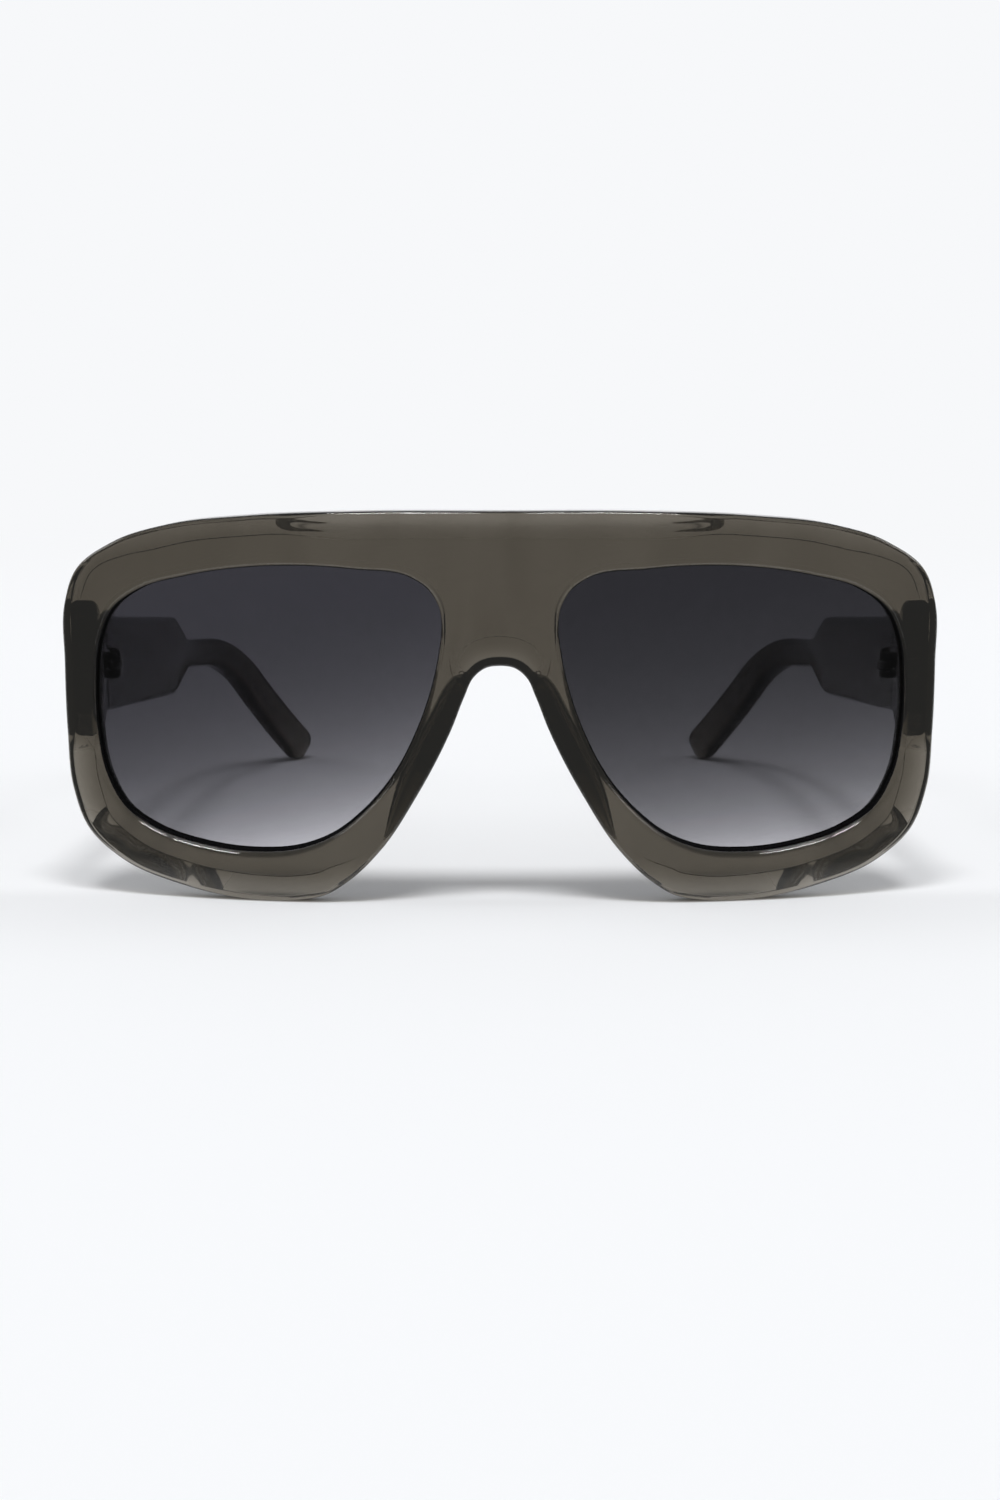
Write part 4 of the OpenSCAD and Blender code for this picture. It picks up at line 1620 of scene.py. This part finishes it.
    def build_wire(self, side: Side) -> None:
        """Makes the core wire inside one temple, with chamfered ends.

        Args:
            side: The wearer's side.
        """
        hinge, ring, end = self.hinge, circle(self.wire_sides), self.length - self.wire_stop
        inward = hinge.temple_t / 2 - hinge.leaf_t - self.wire_play - self.wire_r
        rings = []
        for s in np.linspace(self.wire_start, end, self.wire_rings):
            out, up = self.frame(s, self.slope(s))
            to_end = min(s - self.wire_start, end - s)
            radius = self.wire_r * min(1.0, self.wire_end + to_end * self.wire_end_slope)
            centre = self.middle(s) - out * inward * self.thickness(s) / hinge.temple_t
            rings.append(centre + (ring[:, :1] * out + ring[:, 1:] * up) * radius)
        piece = hinge.build_tube(rings, side, f"core_wire_{side.word}_steel")
        dress(piece, [self.wire], side.temple_body, f"core_wire_{side.word}")


@dataclass
class Hinges:
    """Steel hinges: a leaf in the endpiece, a leaf in the temple and the screw that joins their knuckles."""

    plan: HingePlan
    steel: bpy.types.Material
    satin: bpy.types.Material
    leaf_margin: float = 0.6
    front_leaf_len: float = 3.2
    temple_leaf_len: float = 9.0
    web_in: float = 0.1
    web_short: float = 0.02
    proud: float = 0.04
    stud_r: float = 0.5
    stud_len: float = 2.0
    screw_r: float = 0.6
    thread_play: float = 0.02
    screw_play: float = 0.04
    head_r: float = 1.1
    head_h: float = 0.8
    slot_w: float = 0.3
    slot_depth: float = 0.35
    soft: float = 0.16
    least_r: float = 0.03
    soft_steps: int = 3
    sides: int = 40

    @property
    def stack_h(self) -> float:
        """Height of the three knuckles together."""
        return 3 * self.plan.knuckle_len + 2 * self.plan.knuckle_gap

    @property
    def pitch(self) -> float:
        """Height between neighbouring knuckles' middles."""
        return self.plan.knuckle_len + self.plan.knuckle_gap

    def turned(self, profile: Sequence[tuple[float, float]], z: float) -> list[np.ndarray]:
        """Rings about the hinge's axis.

        Args:
            profile: Radius and height of each ring.
            z: Height that the profile's heights start from.

        Returns:
            The rings, in the hinge's frame.
        """
        ring = circle(self.sides)
        return [np.column_stack([ring * r, np.full(self.sides, z + up)]) for r, up in profile]

    def add_block(self, shell: Shell, low: Corner, high: Corner) -> None:
        """Adds a block with rounded edges.

        Args:
            shell: The mesh to grow.
            low: The block's lowest corner.
            high: The block's highest corner.
        """
        width, height = high[0] - low[0], high[2] - low[2]
        middle = np.array([low[0] + width / 2, low[2] + height / 2])
        turns = np.linspace(0, math.pi / 2, self.soft_steps + 1)
        ends = [(low[1] + self.soft * (1 - math.sin(a)), self.soft * (1 - math.cos(a))) for a in turns[::-1]]
        ends += [(high[1] - self.soft * (1 - math.sin(a)), self.soft * (1 - math.cos(a))) for a in turns]
        rings = []
        for y, inset in ends:
            radius = max(self.soft - inset, self.least_r)
            flat = rounded_box(width - 2 * inset, height - 2 * inset, radius, self.soft_steps)
            rings.append(upright(flat + middle, y))
        shell.add_tube(rings)

    def add_knuckle(self, shell: Shell, step: int, along: int, play: float) -> None:
        """Adds one knuckle with its bore, and the web that joins it to its leaf.

        Args:
            shell: The mesh to grow.
            step: Place in the stack, from the middle one.
            along: Side of the axis that its leaf lies on, -1 at the front and 1 at the temple.
            play: Clearance of the bore around the screw.
        """
        plan, bore = self.plan, self.screw_r + play
        z, half, out = plan.hinge_z + step * self.pitch, plan.knuckle_len / 2, plan.knuckle_r
        profile = [(bore + self.soft, -half), (out - self.soft, -half), (out, -half + self.soft)]
        profile += [(r, -up) for r, up in profile[::-1]]
        profile += [(bore, half - self.soft), (bore, -half + self.soft), profile[0]]
        shell.add_grid(self.turned(profile, z), closed=True)
        ends = sorted([along * self.web_in, along * out])
        low = ((bore + out) / 2, ends[0], z - half + self.web_short)
        high = (plan.axis_offset + plan.leaf_t / 2, ends[1], z + half - self.web_short)
        self.add_block(shell, low, high)

    def finish(self, shell: Shell, side: Side, kind: HingePiece, body: str) -> None:
        """Places and dresses one piece of a hinge.

        Args:
            shell: The piece's mesh in the hinge's frame.
            side: The wearer's side.
            kind: Which piece it is.
            body: The CAD body that it rides on.
        """
        shell.points = [self.plan.place(points, side) for points in shell.points]
        node = f"{kind.value}_{side.word}"
        finish = self.satin if kind is HingePiece.TEMPLE_LEAF else self.steel
        dress(shell.build(f"{node}_steel"), [finish], body, node)

    def build_front_leaf(self, side: Side) -> None:
        """Makes the endpiece's leaf with two knuckles and two anchor studs.

        Args:
            side: The wearer's side.
        """
        plan, shell = self.plan, Shell()
        inner, half = plan.axis_offset, self.stack_h / 2 + self.leaf_margin
        low = (inner - self.proud, -self.front_leaf_len, plan.hinge_z - half)
        self.add_block(shell, low, (inner + plan.leaf_t, -plan.butt_gap / 2, plan.hinge_z + half))
        reach = plan.leaf_t + self.stud_len
        stud = [(self.stud_r, plan.leaf_t / 2), (self.stud_r, reach - self.soft)]
        stud.append((self.stud_r - self.soft, reach))
        for up in (-1, 1):
            self.add_knuckle(shell, step=up, along=-1, play=self.thread_play)
            foot = np.array([inner, -self.front_leaf_len / 2, plan.hinge_z + up * self.stack_h / 3])
            shell.add_tube([ring[:, [2, 0, 1]] + foot for ring in self.turned(stud, 0)])
        self.finish(shell, side, HingePiece.FRONT_LEAF, Body.FRONT.value)

    def build_temple_leaf(self, side: Side) -> None:
        """Makes the temple's leaf with its knuckle.

        Args:
            side: The wearer's side.
        """
        plan, shell = self.plan, Shell()
        inner, half = plan.axis_offset, plan.knuckle_len / 2 + 2 * self.leaf_margin
        low = (inner - self.proud, plan.butt_gap / 2 + self.web_in, plan.hinge_z - half)
        self.add_block(shell, low, (inner + plan.leaf_t, self.temple_leaf_len, plan.hinge_z + half))
        self.add_knuckle(shell, step=0, along=1, play=self.screw_play)
        self.finish(shell, side, HingePiece.TEMPLE_LEAF, side.temple_body)

    def build_screw(self, side: Side) -> None:
        """Makes the screw: a shank with a chamfered end, and a head with a slot between two raised halves.

        Args:
            side: The wearer's side.
        """
        shell, soft, end = Shell(), self.soft, -self.stack_h / 2
        top = self.stack_h / 2 + self.thread_play
        crown = top + self.head_h
        seat = crown - self.slot_depth
        profile = [(self.screw_r - soft, end), (self.screw_r, end + soft), (self.screw_r, top)]
        profile += [(self.head_r - soft, top), (self.head_r, top + soft), (self.head_r, seat)]
        shell.add_tube(self.turned(profile, self.plan.hinge_z))
        half_head = [(0, seat), (0, crown - soft), (soft / 3, crown - soft / 3), (soft, crown)]
        for sign in (-1, 1):
            rings = []
            for inset, up in half_head:
                radius, edge = self.head_r - inset, self.slot_w / 2 + inset / 3
                first = math.asin(edge / radius)
                turns = np.linspace(first, math.pi - first, self.sides // 2) * sign
                ring = np.stack([np.cos(turns), np.sin(turns)], axis=1) * radius
                rings.append(np.column_stack([ring, np.full(len(ring), self.plan.hinge_z + up)]))
            shell.add_tube(rings)
        self.finish(shell, side, HingePiece.SCREW, Body.FRONT.value)


@dataclass(frozen=True)
class Lamp:
    """A far, soft lamp, with its direction from the front towards +X and above the floor, in degrees."""

    name: str
    azimuth: float
    elevation: float
    strength: float
    softness: float

    def build(self) -> None:
        """Adds the lamp, which isn't seen through lenses and acetate."""
        data = bpy.data.lights.new(self.name, "SUN")
        data.energy, data.angle = self.strength, math.radians(self.softness)
        lamp = bpy.data.objects.new(self.name, data)
        lamp.rotation_euler = (math.radians(90 - self.elevation), 0, math.radians(self.azimuth))
        lamp.visible_transmission = False
        bpy.context.scene.collection.objects.link(lamp)


@dataclass
class Studio:
    """White floor and background, soft lamps and the camera."""

    white: Colour = (0.930, 0.939, 0.956, 1.0)
    fill: float = 0.34
    dark: float = 0.08
    dark_through: float = 0.35
    bright_from: Span = (0.25, 0.8)
    floor_colour: Colour = (0.91, 0.919, 0.935, 1.0)
    floor_size: float = 6.0
    floor_sides: int = 96
    floor_below: float = 0.00005
    floor_roughness: float = 0.9
    floor_fade: Span = (0.25, 0.6)
    floor_ahead: Span = (-0.078, -0.095)
    camera_y: float = -0.533363
    camera_z: float = 0.1066
    pitch: float = 9.861
    focal: float = 67.02
    sensor: float = 36.0
    nearest: float = 0.01
    lamps: tuple[Lamp, ...] = (
        Lamp("key_left", azimuth=24, elevation=71.5, strength=0.925, softness=13),
        Lamp("key_right", azimuth=-24, elevation=71.5, strength=0.925, softness=13),
        Lamp("side_left", azimuth=100, elevation=34, strength=0.47, softness=26),
        Lamp("side_right", azimuth=-100, elevation=34, strength=0.47, softness=26),
    )

    def build_camera(self) -> None:
        """Sets the camera at the photograph's viewing angle."""
        data = bpy.data.cameras.new("studio_camera")
        data.lens, data.sensor_width, data.clip_start = self.focal, self.sensor, self.nearest
        camera = bpy.data.objects.new("studio_camera", data)
        camera.location = (0, self.camera_y, self.camera_z)
        camera.rotation_euler = (math.radians(90 - self.pitch), 0, 0)
        bpy.context.scene.collection.objects.link(camera)
        bpy.context.scene.camera = camera

    def build_world(self) -> None:
        """Sets a white background that gloss and glass find dark on the camera's side, and a softer fill."""
        world = bpy.data.worlds.new("studio")
        world.use_nodes = True
        bpy.context.scene.world = world
        w = Wiring(world.node_tree)
        seen = self.seen_directly(w)
        way = w.node("ShaderNodeSeparateXYZ", {"Vector": w.node("ShaderNodeTexCoord").outputs["Generated"]})
        behind = w.ramp(way.outputs["Y"], *self.bright_from)
        path = w.node("ShaderNodeLightPath")
        more = w.maths("MULTIPLY", path.outputs["Is Transmission Ray"], self.dark_through - self.dark)
        level = w.maths("ADD", more, self.dark)
        rest = w.maths("MULTIPLY", behind, w.maths("SUBTRACT", 1.0, level))
        shine = w.maths("MAXIMUM", path.outputs["Is Camera Ray"], w.maths("ADD", rest, level))
        fill = w.node("ShaderNodeBackground", {"Color": self.white, "Strength": self.fill})
        white = w.node("ShaderNodeBackground", {"Color": self.white, "Strength": shine})
        mixed = w.node("ShaderNodeMixShader", {0: seen, 1: fill.outputs[0], 2: white.outputs[0]})
        w.node("ShaderNodeOutputWorld", {"Surface": mixed.outputs[0]})

    @staticmethod
    def seen_directly(w: Wiring) -> Socket:
        """Adds a mask of the eye's own rays and of those from gloss and through glass.

        Args:
            w: The wiring of the world or of a material.

        Returns:
            The mask's socket, 1 for these rays and 0 for the others.
        """
        path = w.node("ShaderNodeLightPath")
        clear = w.maths("MAXIMUM", path.outputs["Is Glossy Ray"], path.outputs["Is Transmission Ray"])
        return w.maths("MAXIMUM", path.outputs["Is Camera Ray"], clear)

    def build_floor(self) -> None:
        """Adds the floor, which takes shadows near the object and runs into the background further out."""
        mesh = bpy.data.meshes.new("floor")
        work = bmesh.new()
        bmesh.ops.create_circle(work, cap_ends=True, segments=self.floor_sides, radius=self.floor_size / 2)
        work.to_mesh(mesh)
        work.free()
        floor = bpy.data.objects.new("floor", mesh)
        floor.location.z = -self.floor_below
        bpy.context.scene.collection.objects.link(floor)
        material, w = new_material("floor_white")
        values = {"Base Color": self.floor_colour, "Roughness": self.floor_roughness}
        paper = w.node("ShaderNodeBsdfPrincipled", {**values, "Specular IOR Level": 0.0})
        glow = w.node("ShaderNodeEmission", {"Color": self.white, "Strength": 1.0})
        place = w.place()
        reach = w.node("ShaderNodeVectorMath", {0: place}, operation="LENGTH").outputs["Value"]
        share = w.maths("MULTIPLY", w.ramp(reach, *self.floor_fade), self.seen_directly(w))
        mixed = w.node("ShaderNodeMixShader", {0: share, 1: paper.outputs[0], 2: glow.outputs[0]})
        # Gloss rays just ahead of the front find the floor dim: a painted dark reflection in place of a black
        # card.
        shade = w.node("ShaderNodeEmission", {"Color": self.white, "Strength": self.dark})
        along = w.node("ShaderNodeSeparateXYZ", {"Vector": place}).outputs["Y"]
        in_gloss = w.node("ShaderNodeLightPath").outputs["Is Glossy Ray"]
        in_gloss = w.maths("MULTIPLY", w.ramp(along, *self.floor_ahead), in_gloss)
        mixed = w.node("ShaderNodeMixShader", {0: in_gloss, 1: mixed.outputs[0], 2: shade.outputs[0]})
        w.node("ShaderNodeOutputMaterial", {"Surface": mixed.outputs[0]})
        mesh.materials.append(material)

    def build(self) -> None:
        """Builds the whole studio."""
        self.build_camera()
        self.build_world()
        self.build_floor()
        for lamp in self.lamps:
            lamp.build()
        bpy.context.scene.view_settings.view_transform = "Standard"
        bpy.context.scene.cycles.caustics_refractive = False
        LOG.info("studio ready")


def main() -> None:
    """Builds the studio, then each sub-assembly."""
    logging.basicConfig(level=logging.INFO, format="%(name)s: %(message)s")
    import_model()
    Studio().build()
    effects = Effects()
    acetate = AcetateFinish().build(effects)
    hinge_steel = SteelFinish("hinge_steel", BRIGHT_STEEL, low=0.14, high=0.3).build(effects)
    satin_steel = SteelFinish("satin_steel", BRIGHT_STEEL, low=0.5, high=0.7).build(effects)
    wire = SteelFinish("wire_steel", along=200.0).build(effects)
    plan = FrontPlan()
    hinge = HingePlan(plan)
    # The lens grooves take near-black painted shade.
    front = FrontParts(plan, acetate, GrooveShadeFinish("groove_painted_shade").build(effects))
    hinges = Hinges(hinge, hinge_steel, satin_steel)
    endpieces = Endpieces(hinge, acetate)
    temples = Temples(hinge, acetate, wire)
    # Near-black painted shade for the lens bevels.
    lenses = Lenses(plan, GrooveShadeFinish("lens_bevel", gloss=0.3).build(effects))
    looks = {
        Side.LEFT: LensFinish(
            "lens_left_tint",
            top=65.0,
            bottom=2.0,
            middle=plan.eye_x,
            lean=-0.09,
            density=-3.64,
            rise=3.87,
            fade=2.5,
        ),
        Side.RIGHT: LensFinish(
            "lens_right_tint",
            top=49.8,
            bottom=2.0,
            middle=-plan.eye_x,
            lean=-0.24,
            density=-3.15,
            rise=3.4,
            fade=2.0,
        ),
    }
    front.build_front()
    for side in Side:
        front.build_pad(side)
        endpieces.build(side)
        lenses.build(side, looks[side].build(effects))
        temples.build_temple(side)
        temples.build_wire(side)
        hinges.build_front_leaf(side)
        hinges.build_temple_leaf(side)
        hinges.build_screw(side)


if __name__ == "__main__":
    main()
